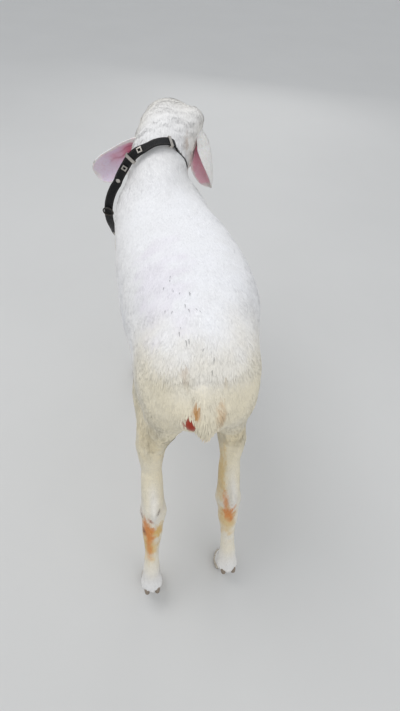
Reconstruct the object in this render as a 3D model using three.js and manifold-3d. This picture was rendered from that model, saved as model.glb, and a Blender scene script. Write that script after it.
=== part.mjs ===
// A young white lop-eared hair sheep, standing with its head lowered into a raised feed bowl and
// wearing a loose leather collar. Millimetres, +Z up, +Y forward, +X to the animal's right.
// The body is one smooth field of muscle and coat, meshed and parted into named lengths by thin cuts.
import * as THREE from 'three';
import { mergeVertices } from 'three/addons/utils/BufferGeometryUtils.js';
import Module from 'manifold-3d';

const wasm = await Module();
wasm.setup();

// ---------------------------------------------------------------- driving dimensions

const GAP = 0.3; // thin cut between neighbouring pieces
const SOCKET_GAP = 0.6; // and round the root of an ear
const TAIL_BASE_HEIGHT = 642;
const HALF_HOCK_SPACING = 82;
const HALF_HIND_FOOT_SPACING = 88;
const HIND_MIDDLE = -7; // the hind feet stand a little to the left of the body's middle
const FORE_MIDDLE = -20; // and so do the fore feet, as the trunk bends
const HALF_FORE_FOOT_SPACING = 66;
const HIND_STEP = { left: -30, right: -8 }; // how far behind the pin bones each hind foot stands
const FORE_STEP = { left: 14, right: -12 };
const TOES_OUT = { hind: 0.16, fore: 0.1 }; // turn of each foot away from the midline

const CORONET_HEIGHT = 29;
const CLAW_LENGTH = 50;
const CLAW_WIDTH = 21;
const CLAW_SPREAD = 12.5; // each claw's middle from the middle of its foot
const DEWCLAW_RADIUS = 7;
const DEWCLAW_LENGTH = 17;

const EYE_RADIUS = 13.5;
const EAR_LENGTH = 150;
const EAR_WIDTH = 79; // from edge to edge along the skin, laid flat
const EAR_THICKNESS = 4.2;
const EAR_ROOT = 0.28; // share of the ear, from the head, that is solid flesh
const EAR_RINGS = 12;
const EAR_HALF_POINTS = 5; // points across each half of the ear
const TAIL_LENGTH = 62;

const STRAP_WIDTH = 20;
const STRAP_THICKNESS = 3;
const STRAP_SIDES = 44;
const STUD_SIZE = 11;

const LEG_SIDES = 12;
const TAIL_SIDES = 12;

const TRUNK_CELL = 29;
const NECK_CELL = 17;
const HEAD_CELL = 14;

// Trunk profile from the pin bones to the brisket: place along the body, how far its middle lies to
// the right, height of the back and of the underline, half the width, and the height where it is widest.
const TRUNK_STATIONS = [
  { at: 24, middle: 2, back: 626, under: 566, half: 40, widest: 592 },
  { at: 56, middle: 4, back: 666, under: 542, half: 72, widest: 590 },
  { at: 116, middle: 6, back: 697, under: 492, half: 93, widest: 580 },
  { at: 200, middle: 14, back: 702, under: 440, half: 118, widest: 560 },
  { at: 300, middle: 17, back: 695, under: 404, half: 139, widest: 548 },
  { at: 400, middle: 11, back: 690, under: 388, half: 139, widest: 545 },
  { at: 490, middle: -3, back: 692, under: 386, half: 126, widest: 548 },
  { at: 570, middle: -20, back: 674, under: 398, half: 90, widest: 540 },
  { at: 640, middle: -30, back: 620, under: 440, half: 58, widest: 530 },
  { at: 682, middle: -34, back: 570, under: 482, half: 28, widest: 525 },
];

// ---------------------------------------------------------------- field functions

const v = (x, y, z) => new THREE.Vector3(x, y, z);
const lerp = THREE.MathUtils.lerp;
const clamp = THREE.MathUtils.clamp;

/** Union of two distances with a fillet of about the given size. */
function blend(a, b, fillet) {
  const h = Math.max(fillet - Math.abs(a - b), 0) / fillet;
  return Math.min(a, b) - (h * h * fillet) / 4;
}

/**
 * Distance to a tapered limb with an oval section. Each end is a joint with its place, its half
 * width (sideways) and its half depth (fore and aft).
 */
function limb(from, to) {
  const axis = to.at.clone().sub(from.at);
  const length = axis.length();
  axis.normalize();
  const side = v(1, 0, 0).addScaledVector(axis, -axis.x).normalize();
  const deep = axis.clone().cross(side);
  const offset = v(0, 0, 0);
  return (p) => {
    offset.copy(p).sub(from.at);
    const along = offset.dot(axis);
    const t = clamp(along / length, 0, 1);
    const half = lerp(from.half, to.half, t);
    const depth = lerp(from.depth, to.depth, t);
    const past = along - t * length;
    const mean = Math.sqrt(half * depth);
    const reach = Math.hypot(offset.dot(side) / half, offset.dot(deep) / depth, past / mean);
    return (reach - 1) * Math.min(half, depth);
  };
}

/** Distance to an ellipsoid whose axes lie along the three given directions. */
function bulge(at, radii, turn = new THREE.Euler()) {
  const back = new THREE.Matrix4().makeRotationFromEuler(turn).invert();
  const offset = v(0, 0, 0);
  const least = Math.min(radii.x, radii.y, radii.z);
  return (p) => {
    offset.copy(p).sub(at).applyMatrix4(back).divide(radii);
    return (offset.length() - 1) * least;
  };
}

/** Catmull-Rom value of one number of the trunk profile at a place along the body. */
function profile(key, at) {
  const last = TRUNK_STATIONS.length - 1;
  const place = clamp(at, TRUNK_STATIONS[0].at, TRUNK_STATIONS[last].at);
  let i = 0;
  while (i < last - 1 && TRUNK_STATIONS[i + 1].at < place) {
    i += 1;
  }
  const [p0, p1, p2, p3] = [i - 1, i, i + 1, i + 2].map((k) => TRUNK_STATIONS[clamp(k, 0, last)]);
  const span = p2.at - p1.at;
  const t = (place - p1.at) / span;
  const m1 = ((p2[key] - p0[key]) / (p2.at - p0.at)) * span;
  const m2 = ((p3[key] - p1[key]) / (p3.at - p1.at)) * span;
  const t2 = t * t;
  const t3 = t2 * t;
  return (
    (2 * t3 - 3 * t2 + 1) * p1[key] + (t3 - 2 * t2 + t) * m1
    + (3 * t2 - 2 * t3) * p2[key] + (t3 - t2) * m2
  );
}

const BARREL_POWER = 2.25; // a little squarer than an ellipse
const TRUNK_END_ROUNDING = 26;

/** Distance to the barrel of the trunk, an oval section that follows the profile. */
function barrel(p) {
  const last = TRUNK_STATIONS.length - 1;
  const half = profile('half', p.y);
  const widest = profile('widest', p.y);
  const height = p.z > widest ? profile('back', p.y) - widest : widest - profile('under', p.y);
  const past = Math.max(TRUNK_STATIONS[0].at - p.y, p.y - TRUNK_STATIONS[last].at, 0);
  const across = Math.abs((p.x - profile('middle', p.y)) / half);
  const upright = Math.abs((p.z - widest) / height);
  const sum = [across, upright, past / TRUNK_END_ROUNDING].reduce((total, x) => total + x ** BARREL_POWER, 0);
  return (sum ** (1 / BARREL_POWER) - 1) * Math.min(half, height);
}

// ---------------------------------------------------------------- joints of the legs

const SIDES = [{ name: 'left', sign: -1 }, { name: 'right', sign: 1 }];

/** Joints of a hind leg from the hip to the coronet; the lower ones follow the foot's step. */
function hindJoints({ name, sign }) {
  const step = HIND_STEP[name];
  const hock = sign * HALF_HOCK_SPACING;
  const foot = HIND_MIDDLE + sign * HALF_HIND_FOOT_SPACING;
  return {
    hip: { at: v(4 + sign * 49, 122, 594), half: 53, depth: 88 },
    buttock: { at: v(4 + sign * 46, 82, 556), half: 42, depth: 44 },
    stifle: { at: v(4 + sign * 80, 196 + 0.15 * step, 452), half: 32, depth: 48 },
    shin: { at: v(4 + sign * 84, 130 + 0.3 * step, 372), half: 25, depth: 37 },
    aboveHock: { at: v(hock, 86 + 0.5 * step, 292), half: 18.5, depth: 23 },
    hock: { at: v(hock, 62 + 0.6 * step, 236), half: 26, depth: 28 },
    heel: { at: v(hock, 38 + 0.6 * step, 270), half: 12, depth: 13 },
    cannon: { at: v(lerp(hock, foot, 0.4), 34 + 0.75 * step, 186), half: 16.5, depth: 18 },
    shank: { at: v(lerp(hock, foot, 0.85), -6 + 0.92 * step, 110), half: 15.5, depth: 16.5 },
    fetlock: { at: v(foot, -22 + step, 70), half: 21, depth: 21.5 },
    coronet: { at: v(foot, step, CORONET_HEIGHT), half: 23, depth: 25 },
  };
}

/** Joints of a fore leg from the shoulder to the coronet. */
function foreJoints({ name, sign }) {
  const step = FORE_STEP[name];
  const foot = FORE_MIDDLE + sign * HALF_FORE_FOOT_SPACING;
  return {
    blade: { at: v(FORE_MIDDLE + sign * 60, 550, 622), half: 42, depth: 64 },
    shoulder: { at: v(FORE_MIDDLE + sign * 70, 616, 496), half: 40, depth: 52 },
    elbow: { at: v(FORE_MIDDLE + sign * 72, 556, 424), half: 33, depth: 50 },
    forearm: { at: v(FORE_MIDDLE + sign * 70, 566 + 0.4 * step, 346), half: 27, depth: 36 },
    aboveKnee: { at: v(foot, 573 + 0.6 * step, 272), half: 19, depth: 22 },
    knee: { at: v(foot, 576 + 0.7 * step, 228), half: 22, depth: 23 },
    cannon: { at: v(foot, 574 + 0.85 * step, 182), half: 16, depth: 17 },
    shank: { at: v(foot, 573 + step, 112), half: 15.5, depth: 16.5 },
    fetlock: { at: v(foot, 574 + step, 72), half: 21, depth: 21.5 },
    coronet: { at: v(foot, 594 + step, CORONET_HEIGHT), half: 23, depth: 25 },
  };
}

const HIND = Object.fromEntries(SIDES.map((side) => [side.name, hindJoints(side)]));
const FORE = Object.fromEntries(SIDES.map((side) => [side.name, foreJoints(side)]));

/** Limbs from each joint to the next in a list of joints, with the fillet that joins them. */
function chain(joints) {
  return joints.slice(1).map((joint, i) => limb(joints[i], joint));
}

/** Field of one hind leg, from the muscle of the thigh to the pastern. */
function hindLimbs(j) {
  return [
    ...chain([j.hip, j.stifle, j.shin, j.aboveHock, j.hock, j.cannon, j.shank, j.fetlock, j.coronet]),
    ...chain([j.hip, j.buttock, j.shin]),
    ...chain([j.aboveHock, j.heel, j.cannon]),
  ];
}

/** Field of one fore leg, from the shoulder blade to the pastern. */
function foreLimbs(j) {
  return chain([j.blade, j.shoulder, j.elbow, j.forearm, j.aboveKnee, j.knee, j.cannon, j.shank,
    j.fetlock, j.coronet]);
}

// ---------------------------------------------------------------- head and neck

const HEAD_PITCH = -0.52; // nose down
const HEAD_ROLL = -0.14; // crown to the animal's left
const HEAD_TURN = -0.1; // nose to the animal's right
const HEAD_EULER = new THREE.Euler(HEAD_PITCH, HEAD_ROLL, HEAD_TURN, 'ZXY');
const POLL = v(9, 712, 760);

const headMatrix = new THREE.Matrix4()
  .makeRotationFromEuler(HEAD_EULER)
  .setPosition(POLL);
/** A place on the head: right of the middle, ahead of the poll along the face, and above it. */
const onHead = (right, ahead, above) => v(right, ahead, above).applyMatrix4(headMatrix);

const NECK_JOINTS = [
  { at: v(-25, 560, 592), half: 74, depth: 98 },
  { at: v(-23, 612, 640), half: 56, depth: 84 },
  { at: v(-19, 664, 690), half: 53, depth: 68 },
  { at: POLL.clone().add(v(-4, -6, -28)), half: 58, depth: 58 },
];

/** Half width and half height of the head along the face, seen in the head's own frame. */
const HEAD_LIMBS = [
  [{ at: [0, 8, -20], half: 56, depth: 52 }, { at: [0, 74, -16], half: 54, depth: 50 }],
  [{ at: [0, 74, -14], half: 48, depth: 48 }, { at: [0, 150, -22], half: 32, depth: 38 }],
  [{ at: [0, 150, -22], half: 32, depth: 38 }, { at: [0, 204, -40], half: 29, depth: 31 }],
  [{ at: [0, 26, -64], half: 40, depth: 44 }, { at: [0, 96, -62], half: 38, depth: 43 }],
  [{ at: [0, 96, -62], half: 38, depth: 43 }, { at: [0, 190, -64], half: 22, depth: 20 }],
];
const ORBIT = { right: 50, ahead: 77, above: 5 };
const EYE = { right: 59, ahead: 80, above: -2 };

/** Distance to a head limb whose ends are given in the head's frame. */
function headLimb([from, to]) {
  const place = ({ at, half, depth }) => ({ at: v(...at), half, depth });
  const local = limb(place(from), place(to));
  const back = headMatrix.clone().invert();
  const q = v(0, 0, 0);
  return (p) => local(q.copy(p).applyMatrix4(back));
}

const headFields = [
  ...HEAD_LIMBS.map(headLimb),
  bulge(onHead(0, 212, -44), v(31, 17, 27), HEAD_EULER),
  bulge(onHead(0, 200, -70), v(20, 20, 14), HEAD_EULER),
  ...SIDES.map(({ sign }) => bulge(onHead(sign * ORBIT.right, ORBIT.ahead, ORBIT.above), v(21, 34, 24))),
  ...SIDES.map(({ sign }) => bulge(onHead(sign * 34, 52, -66), v(20, 38, 34), HEAD_EULER)),
  ...SIDES.map(({ sign }) => bulge(onHead(sign * 54, 14, -32), v(20, 24, 24))),
  bulge(onHead(0, 32, 16), v(50, 52, 34), HEAD_EULER),
  bulge(onHead(54, -4, -4), v(25, 34, 27), HEAD_EULER), // base of the folded right ear
];
const neckFields = chain(NECK_JOINTS);
const legFields = SIDES.flatMap(({ name }) => [...hindLimbs(HIND[name]), ...foreLimbs(FORE[name])]);

const LIMB_FILLET = 16;
const BODY_FILLET = 46;

/** The whole animal as one smooth field, negative inside. */
function body(p) {
  const legs = legFields.reduce((d, field) => blend(d, field(p), LIMB_FILLET), 1e4);
  const neck = neckFields.reduce((d, field) => blend(d, field(p), BODY_FILLET), 1e4);
  const head = headFields.reduce((d, field) => blend(d, field(p), LIMB_FILLET), 1e4);
  const trunk = blend(barrel(p), neck, BODY_FILLET);
  return blend(blend(trunk, head, 22), legs, 30);
}

// ---------------------------------------------------------------- meshing

/** Unit slope of a field at a point. */
function slope(field, p, step = 0.5) {
  const q = p.clone();
  const rise = ['x', 'y', 'z'].map((key) => {
    q.copy(p)[key] += step;
    const high = field(q);
    q.copy(p)[key] -= step;
    return (high - field(q)) / (2 * step);
  });
  return v(...rise);
}

/** Moves a point onto the field's surface. */
function settle(field, p, most) {
  const start = p.clone();
  for (let pass = 0; pass < 4; pass += 1) {
    const n = slope(field, p);
    p.addScaledVector(n, -field(p) / Math.max(n.lengthSq(), 0.05));
  }
  const move = p.clone().sub(start);
  return move.length() > most ? start.addScaledVector(move.normalize(), most) : p;
}

/** Geometry from a list of points and a list of triangles. */
function solid(points, triangles) {
  const geometry = new THREE.BufferGeometry();
  const flat = points.flatMap((p) => [p.x, p.y, p.z]);
  geometry.setAttribute('position', new THREE.Float32BufferAttribute(flat, 3));
  geometry.setIndex(triangles.flat());
  return geometry;
}

/** Closed surface of a field inside a box: one vertex in each cell that the surface crosses. */
function net(field, low, high, cell) {
  const counts = ['x', 'y', 'z'].map((key) => Math.ceil((high[key] - low[key]) / cell) + 2);
  const [nx, ny, nz] = counts;
  const at = (i, j, k) => v(low.x + (i - 0.5) * cell, low.y + (j - 0.5) * cell, low.z + (k - 0.5) * cell);
  const index = (i, j, k) => (k * ny + j) * nx + i;
  const values = new Float64Array(nx * ny * nz);
  for (let k = 0; k < nz; k += 1) {
    for (let j = 0; j < ny; j += 1) {
      for (let i = 0; i < nx; i += 1) {
        const edge = i === 0 || j === 0 || k === 0 || i === nx - 1 || j === ny - 1 || k === nz - 1;
        values[index(i, j, k)] = edge ? Math.max(field(at(i, j, k)), 0.5 * cell) : field(at(i, j, k));
      }
    }
  }
  const points = [];
  const cellPoint = new Map();
  const corners = [...Array(8).keys()].map((c) => [c & 1, (c >> 1) & 1, (c >> 2) & 1]);
  const edges = corners.flatMap((a, m) => corners.slice(m + 1)
    .filter((b) => Math.abs(a[0] - b[0]) + Math.abs(a[1] - b[1]) + Math.abs(a[2] - b[2]) === 1)
    .map((b) => [a, b]));
  const pointOf = (i, j, k) => {
    const key = index(i, j, k);
    if (!cellPoint.has(key)) {
      const sum = v(0, 0, 0);
      let crossings = 0;
      edges.forEach(([a, b]) => {
        const da = values[index(i + a[0], j + a[1], k + a[2])];
        const db = values[index(i + b[0], j + b[1], k + b[2])];
        if (da < 0 !== db < 0) {
          const pa = at(i + a[0], j + a[1], k + a[2]);
          sum.add(pa.lerp(at(i + b[0], j + b[1], k + b[2]), da / (da - db)));
          crossings += 1;
        }
      });
      const middle = sum.divideScalar(crossings);
      points.push(settle(field, middle, 0.45 * cell));
      cellPoint.set(key, points.length - 1);
    }
    return cellPoint.get(key);
  };
  const triangles = [];
  const quad = (a, b, c, d, inward) => {
    const [p, q, r, s] = inward ? [a, d, c, b] : [a, b, c, d];
    const across = points[p].distanceTo(points[r]) < points[q].distanceTo(points[s]);
    triangles.push(...(across ? [[p, q, r], [p, r, s]] : [[p, q, s], [q, r, s]]));
  };
  for (let k = 0; k < nz - 1; k += 1) {
    for (let j = 0; j < ny - 1; j += 1) {
      for (let i = 0; i < nx - 1; i += 1) {
        const here = values[index(i, j, k)] < 0;
        const face = (next, a, b, c, d) => {
          if (here !== next < 0) {
            quad(pointOf(...a), pointOf(...b), pointOf(...c), pointOf(...d), !here);
          }
        };
        face(values[index(i + 1, j, k)], [i, j - 1, k - 1], [i, j, k - 1], [i, j, k], [i, j - 1, k]);
        face(values[index(i, j + 1, k)], [i - 1, j, k - 1], [i - 1, j, k], [i, j, k], [i, j, k - 1]);
        face(values[index(i, j, k + 1)], [i - 1, j - 1, k], [i, j - 1, k], [i, j, k], [i - 1, j, k]);
      }
    }
  }
  return solid(points, triangles);
}

/** Closed skin over a list of rings with the same number of points, capped at both ends. */
function skinRings(rings) {
  const sides = rings[0].length;
  const points = rings.flat();
  const triangles = [];
  for (let r = 0; r < rings.length - 1; r += 1) {
    for (let s = 0; s < sides; s += 1) {
      const a = r * sides + s;
      const b = r * sides + ((s + 1) % sides);
      triangles.push([a, b, b + sides], [a, b + sides, a + sides]);
    }
  }
  const middle = (ring) => ring.reduce((sum, p) => sum.add(p), v(0, 0, 0)).divideScalar(sides);
  points.push(middle(rings[0]), middle(rings[rings.length - 1]));
  const lastRing = (rings.length - 1) * sides;
  for (let s = 0; s < sides; s += 1) {
    const next = (s + 1) % sides;
    triangles.push([points.length - 2, next, s]);
    triangles.push([points.length - 1, lastRing + s, lastRing + next]);
  }
  return solid(points, triangles);
}

/** Distance from a point inside the body to its surface along a direction. */
function cast(field, from, direction, most) {
  const step = 2;
  const p = from.clone();
  let reach = 0;
  while (reach < most && field(p.copy(from).addScaledVector(direction, reach)) < 0) {
    reach += step;
  }
  let low = Math.max(reach - step, 0);
  let high = reach;
  for (let pass = 0; pass < 12; pass += 1) {
    const middle = (low + high) / 2;
    if (field(p.copy(from).addScaledVector(direction, middle)) < 0) {
      low = middle;
    } else {
      high = middle;
    }
  }
  return low;
}

/** A length of limb: rings of the body's own section at places along a bent centre line. */
function length(joints, rings, sides, trim = { start: 0, end: 0 }) {
  const curve = new THREE.CatmullRomCurve3(joints.map((joint) => joint.at), false, 'centripetal');
  const total = curve.getLength();
  const from = trim.start / total;
  const to = 1 - trim.end / total;
  return skinRings([...Array(rings).keys()].map((r) => {
    const t = lerp(from, to, r / (rings - 1));
    const centre = curve.getPointAt(t);
    const ahead = curve.getTangentAt(t);
    const side = v(1, 0, 0).addScaledVector(ahead, -ahead.x).normalize();
    const up = side.clone().cross(ahead);
    return [...Array(sides).keys()].map((s) => {
      const angle = (-2 * Math.PI * s) / sides;
      const way = side.clone().multiplyScalar(Math.cos(angle)).addScaledVector(up, Math.sin(angle));
      return centre.clone().addScaledVector(way, cast(body, centre, way, 90));
    });
  }));
}

// ---------------------------------------------------------------- cutting

const SLIVER = 0.05; // edges shorter than this along a cut are closed up

/** Solid of a closed geometry, for a cut or a join. */
function toSolid(geometry) {
  const bare = geometry.clone();
  bare.deleteAttribute('normal');
  bare.deleteAttribute('uv');
  const merged = mergeVertices(bare, 1e-4);
  const mesh = new wasm.Mesh({
    numProp: 3,
    vertProperties: new Float32Array(merged.attributes.position.array),
    triVerts: new Uint32Array(merged.index.array),
  });
  mesh.merge();
  return new wasm.Manifold(mesh);
}

/** Geometry of a solid after cutting, with the slivers along the cuts merged away. */
function toGeometry(manifold) {
  const { vertProperties, triVerts, numProp } = manifold.simplify(SLIVER).getMesh();
  const geometry = new THREE.BufferGeometry();
  const flat = [];
  for (let i = 0; i < vertProperties.length; i += numProp) {
    flat.push(vertProperties[i], vertProperties[i + 1], vertProperties[i + 2]);
  }
  geometry.setAttribute('position', new THREE.Float32BufferAttribute(flat, 3));
  geometry.setIndex([...triVerts]);
  return geometry;
}

/** The same geometry without the crumbs that a cut leaves beside the main body. */
function withoutCrumbs(geometry) {
  const index = geometry.index.array;
  const parent = [...Array(geometry.attributes.position.count).keys()];
  const rootOf = (i) => {
    let root = i;
    while (parent[root] !== root) {
      root = parent[root];
    }
    return root;
  };
  for (let i = 0; i < index.length; i += 3) {
    const root = rootOf(index[i]);
    parent[rootOf(index[i + 1])] = root;
    parent[rootOf(index[i + 2])] = root;
  }
  const tally = new Map();
  index.forEach((i) => tally.set(rootOf(i), (tally.get(rootOf(i)) ?? 0) + 1));
  const main = [...tally].reduce((best, entry) => (entry[1] > best[1] ? entry : best))[0];
  geometry.setIndex([...index].filter((i) => rootOf(i) === main));
  return geometry;
}

const BLOCK = 2000;

/** Everything on the far side of a plane, as a block that starts a given distance past it. */
function beyond(point, normal, start = 0) {
  const block = new THREE.BoxGeometry(BLOCK, BLOCK, BLOCK);
  const turn = new THREE.Quaternion().setFromUnitVectors(v(0, 0, 1), normal.clone().normalize());
  const centre = point.clone().addScaledVector(normal.clone().normalize(), BLOCK / 2 + start);
  block.applyMatrix4(new THREE.Matrix4().compose(centre, turn, v(1, 1, 1)));
  return toSolid(block);
}

// ---------------------------------------------------------------- materials and the model

const PALETTE = {
  coat: { color: '#ece7dc', roughness: 0.9, metalness: 0 },
  earSkin: { color: '#e3b3ae', roughness: 0.7, metalness: 0 },
  hoof: { color: '#b9a483', roughness: 0.55, metalness: 0 },
  eye: { color: '#3a2616', roughness: 0.1, metalness: 0 },
  leather: { color: '#1b1b1e', roughness: 0.5, metalness: 0 },
  steel: { color: '#c9c9c6', roughness: 0.3, metalness: 1 },
};

const model = new THREE.Group();

/** Adds a named piece to the model in its finish. */
function add(name, geometry, finish) {
  const mesh = new THREE.Mesh(geometry, new THREE.MeshStandardMaterial(PALETTE[finish]));
  mesh.name = name;
  model.add(mesh);
}

// ---------------------------------------------------------------- lower legs

/** Geometries of consecutive lengths of one bent limb, and the plane where the first begins. */
function lowerLeg(joints, pieces) {
  const curve = new THREE.CatmullRomCurve3(joints.map((joint) => joint.at), false, 'centripetal');
  const total = curve.getLength();
  return {
    top: { at: curve.getPointAt(0), along: curve.getTangentAt(0) },
    bottom: { at: curve.getPointAt(1), along: curve.getTangentAt(1) },
    lengths: pieces.map(({ name, from, to, rings }) => {
      const trim = { start: from * total + (from > 0 ? GAP : 0), end: (1 - to) * total };
      return { name, geometry: length(joints, rings, LEG_SIDES, trim) };
    }),
  };
}

/** One claw of a hoof: a pointed D-shaped sole on the floor and walls that rise to the coronet. */
function claw(coronet, outward, turn) {
  const sides = 10;
  const ring = (height, width, span, ahead) => [...Array(sides).keys()].map((s) => {
    const angle = (2 * Math.PI * s) / sides;
    const across = Math.cos(angle) * (Math.cos(angle) * outward > 0 ? 1 : 0.82);
    const along = Math.sin(angle);
    const taper = 1 - 0.42 * Math.max(along, 0) ** 2;
    return v(
      outward * CLAW_SPREAD + 0.5 * width * across * taper - outward * 1.5 * Math.max(along, 0) ** 2,
      ahead + 0.5 * span * along,
      height,
    );
  });
  const rings = [
    ring(0, CLAW_WIDTH - 1, CLAW_LENGTH, 7),
    ring(4, CLAW_WIDTH, CLAW_LENGTH + 1, 6),
    ring(24, CLAW_WIDTH, CLAW_LENGTH - 4, 1.5),
    ring(58, CLAW_WIDTH - 1, CLAW_LENGTH - 12, -9),
  ];
  const geometry = skinRings(rings);
  geometry.rotateZ(turn);
  geometry.translate(coronet.at.x, coronet.at.y, 0);
  const above = beyond(coronet.at, coronet.along.clone().negate(), -GAP);
  return toGeometry(toSolid(geometry).subtract(above));
}

/** A dewclaw behind the fetlock, a blunt horn cone that points back and down. */
function dewclaw(fetlock, outward, grow = 0) {
  const radius = DEWCLAW_RADIUS + grow;
  const outline = [[0, -grow], [radius, -grow], [radius, 0.4 * DEWCLAW_LENGTH],
    [0.72 * radius, 0.85 * DEWCLAW_LENGTH + grow], [0, DEWCLAW_LENGTH + grow]];
  const geometry = new THREE.LatheGeometry(outline.map(([r, y]) => new THREE.Vector2(r, y)), 8);
  geometry.rotateX(Math.PI + 0.75);
  geometry.translate(fetlock.x + outward * 11, fetlock.y - 12, fetlock.z + 3);
  return geometry;
}

const HIND_PIECES = [
  { name: 'gaskin', from: 0, to: 0.27, rings: 5 },
  { name: 'cannon', from: 0.27, to: 0.79, rings: 9 },
  { name: 'pastern', from: 0.79, to: 1, rings: 6 },
];
const FORE_PIECES = [
  { name: 'forearm', from: 0, to: 0.3, rings: 5 },
  { name: 'cannon', from: 0.3, to: 0.77, rings: 8 },
  { name: 'pastern', from: 0.77, to: 1, rings: 6 },
];
const FRONT_TO_BACK = [
  {
    prefix: 'hind',
    joints: HIND,
    from: ['shin', 'aboveHock', 'hock', 'cannon', 'shank', 'fetlock', 'coronet'],
    pieces: HIND_PIECES,
    turn: TOES_OUT.hind,
  },
  {
    prefix: 'fore',
    joints: FORE,
    from: ['forearm', 'aboveKnee', 'knee', 'cannon', 'shank', 'fetlock', 'coronet'],
    pieces: FORE_PIECES,
    turn: TOES_OUT.fore,
  },
];

const legTops = {};
FRONT_TO_BACK.forEach(({ prefix, joints, from, pieces, turn }) => {
  SIDES.forEach(({ name, sign }) => {
    const all = joints[name];
    const leg = lowerLeg(from.map((key) => all[key]), pieces);
    legTops[`${prefix}_${name}`] = leg.top;
    const spurs = [-1, 1].map((outward) => dewclaw(all.fetlock.at, outward, GAP));
    leg.lengths.forEach(({ name: piece, geometry }) => {
      const cut = piece === 'pastern'
        ? toGeometry(spurs.reduce((rest, spur) => rest.subtract(toSolid(spur)), toSolid(geometry)))
        : geometry;
      add(`${prefix}_${piece}_${name}`, cut, 'coat');
    });
    [-1, 1].forEach((outward) => {
      const place = outward * sign > 0 ? 'outer' : 'inner';
      add(`${prefix}_claw_${name}_${place}`, claw(leg.bottom, outward, -sign * turn), 'hoof');
      add(`${prefix}_dewclaw_${name}_${place}`, dewclaw(all.fetlock.at, outward), 'hoof');
    });
  });
});

// ---------------------------------------------------------------- tail

const TAIL_JOINTS = [
  { at: v(-2, 78, TAIL_BASE_HEIGHT + 6), half: 20, depth: 14 },
  { at: v(-3, 38, TAIL_BASE_HEIGHT - 4), half: 20, depth: 15 },
  { at: v(-2, 10, TAIL_BASE_HEIGHT - 28), half: 17.5, depth: 13 },
  { at: v(-1, -1, TAIL_BASE_HEIGHT - 46), half: 15.5, depth: 11 },
  { at: v(0, -5, TAIL_BASE_HEIGHT - TAIL_LENGTH), half: 10, depth: 7 },
];
const TAIL_RINGS = 10;

/** The tail as oval rings along its bend. */
function tail(grow = 0) {
  const curve = new THREE.CatmullRomCurve3(TAIL_JOINTS.map((joint) => joint.at));
  return skinRings([...Array(TAIL_RINGS).keys()].map((r) => {
    const t = r / (TAIL_RINGS - 1);
    const place = t * (TAIL_JOINTS.length - 1);
    const i = Math.min(Math.floor(place), TAIL_JOINTS.length - 2);
    const half = lerp(TAIL_JOINTS[i].half, TAIL_JOINTS[i + 1].half, place - i) + grow;
    const depth = lerp(TAIL_JOINTS[i].depth, TAIL_JOINTS[i + 1].depth, place - i) + grow;
    const up = v(1, 0, 0).cross(curve.getTangent(t));
    return [...Array(TAIL_SIDES).keys()].map((s) => {
      const angle = (-2 * Math.PI * s) / TAIL_SIDES;
      return curve.getPoint(t).add(v(half * Math.cos(angle), 0, 0))
        .addScaledVector(up, depth * Math.sin(angle));
    });
  }));
}

// ---------------------------------------------------------------- ears and eyes

// Where each ear leaves the head, the control point of its bend, the way its tip lies from the root,
// and, at the root, the middle and the tip, the way its hollow faces and the curl of its edges. The
// crease says how sharply it folds along its middle, and the flare, at the root and past the middle,
// by what share its upper or front half is the broader.
const EARS = [
  {
    side: 'left',
    root: v(-47, 2, -46),
    bend: v(-52, -8, -12),
    way: v(-0.85, 0.09, -0.51),
    hollow: [v(-0.2, -0.95, 0.2), v(-0.26, -0.95, 0.1), v(-0.26, -0.95, 0.08)],
    curl: [1.1, 0.95, 0.75],
    crease: 1.2,
    flare: [1.1, 0],
  },
  {
    side: 'right',
    root: v(50, 7, -15),
    bend: v(50, -40, 12),
    way: v(0.34, -0.09, -0.95),
    hollow: [v(-0.1, -0.1, -1), v(-0.96, 0.12, 0.08), v(-0.7, -0.85, 0.13)],
    curl: [1.1, 1.35, 1],
    crease: 3,
    flare: [0, 0.38],
  },
];

/** Half width of an ear as a share of its widest: a narrow root, broad past the middle, a blunt tip. */
function leaf(t) {
  const rise = lerp(0.42, 1, THREE.MathUtils.smoothstep(t, 0, 0.75));
  return rise * Math.sqrt(1 - clamp((t - 0.68) / 0.32, 0, 1) ** 2.3);
}

/**
 * Section of an ear from edge to edge, in shares of its half width: places across it and up, and the
 * lean and upright part of the way out of its hollow face there.
 */
function earSection(curl, crease) {
  const slant = (u) => (curl * Math.tanh(crease * u)) / Math.tanh(crease);
  const half = [{ across: 0, rise: 0, u: 0, lean: 0, up: 1 }];
  for (let k = 1; k <= EAR_HALF_POINTS; k += 1) {
    const step = slant((k - 0.5) / EAR_HALF_POINTS);
    const u = k / EAR_HALF_POINTS;
    half.push({
      across: half[k - 1].across + Math.cos(step) / EAR_HALF_POINTS,
      rise: half[k - 1].rise + Math.sin(step) / EAR_HALF_POINTS,
      u,
      lean: -Math.sin(slant(u)),
      up: Math.cos(slant(u)),
    });
  }
  const mirrored = half.slice(1).reverse()
    .map((point) => ({ ...point, across: -point.across, lean: -point.lean }));
  return [...mirrored, ...half];
}

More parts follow.
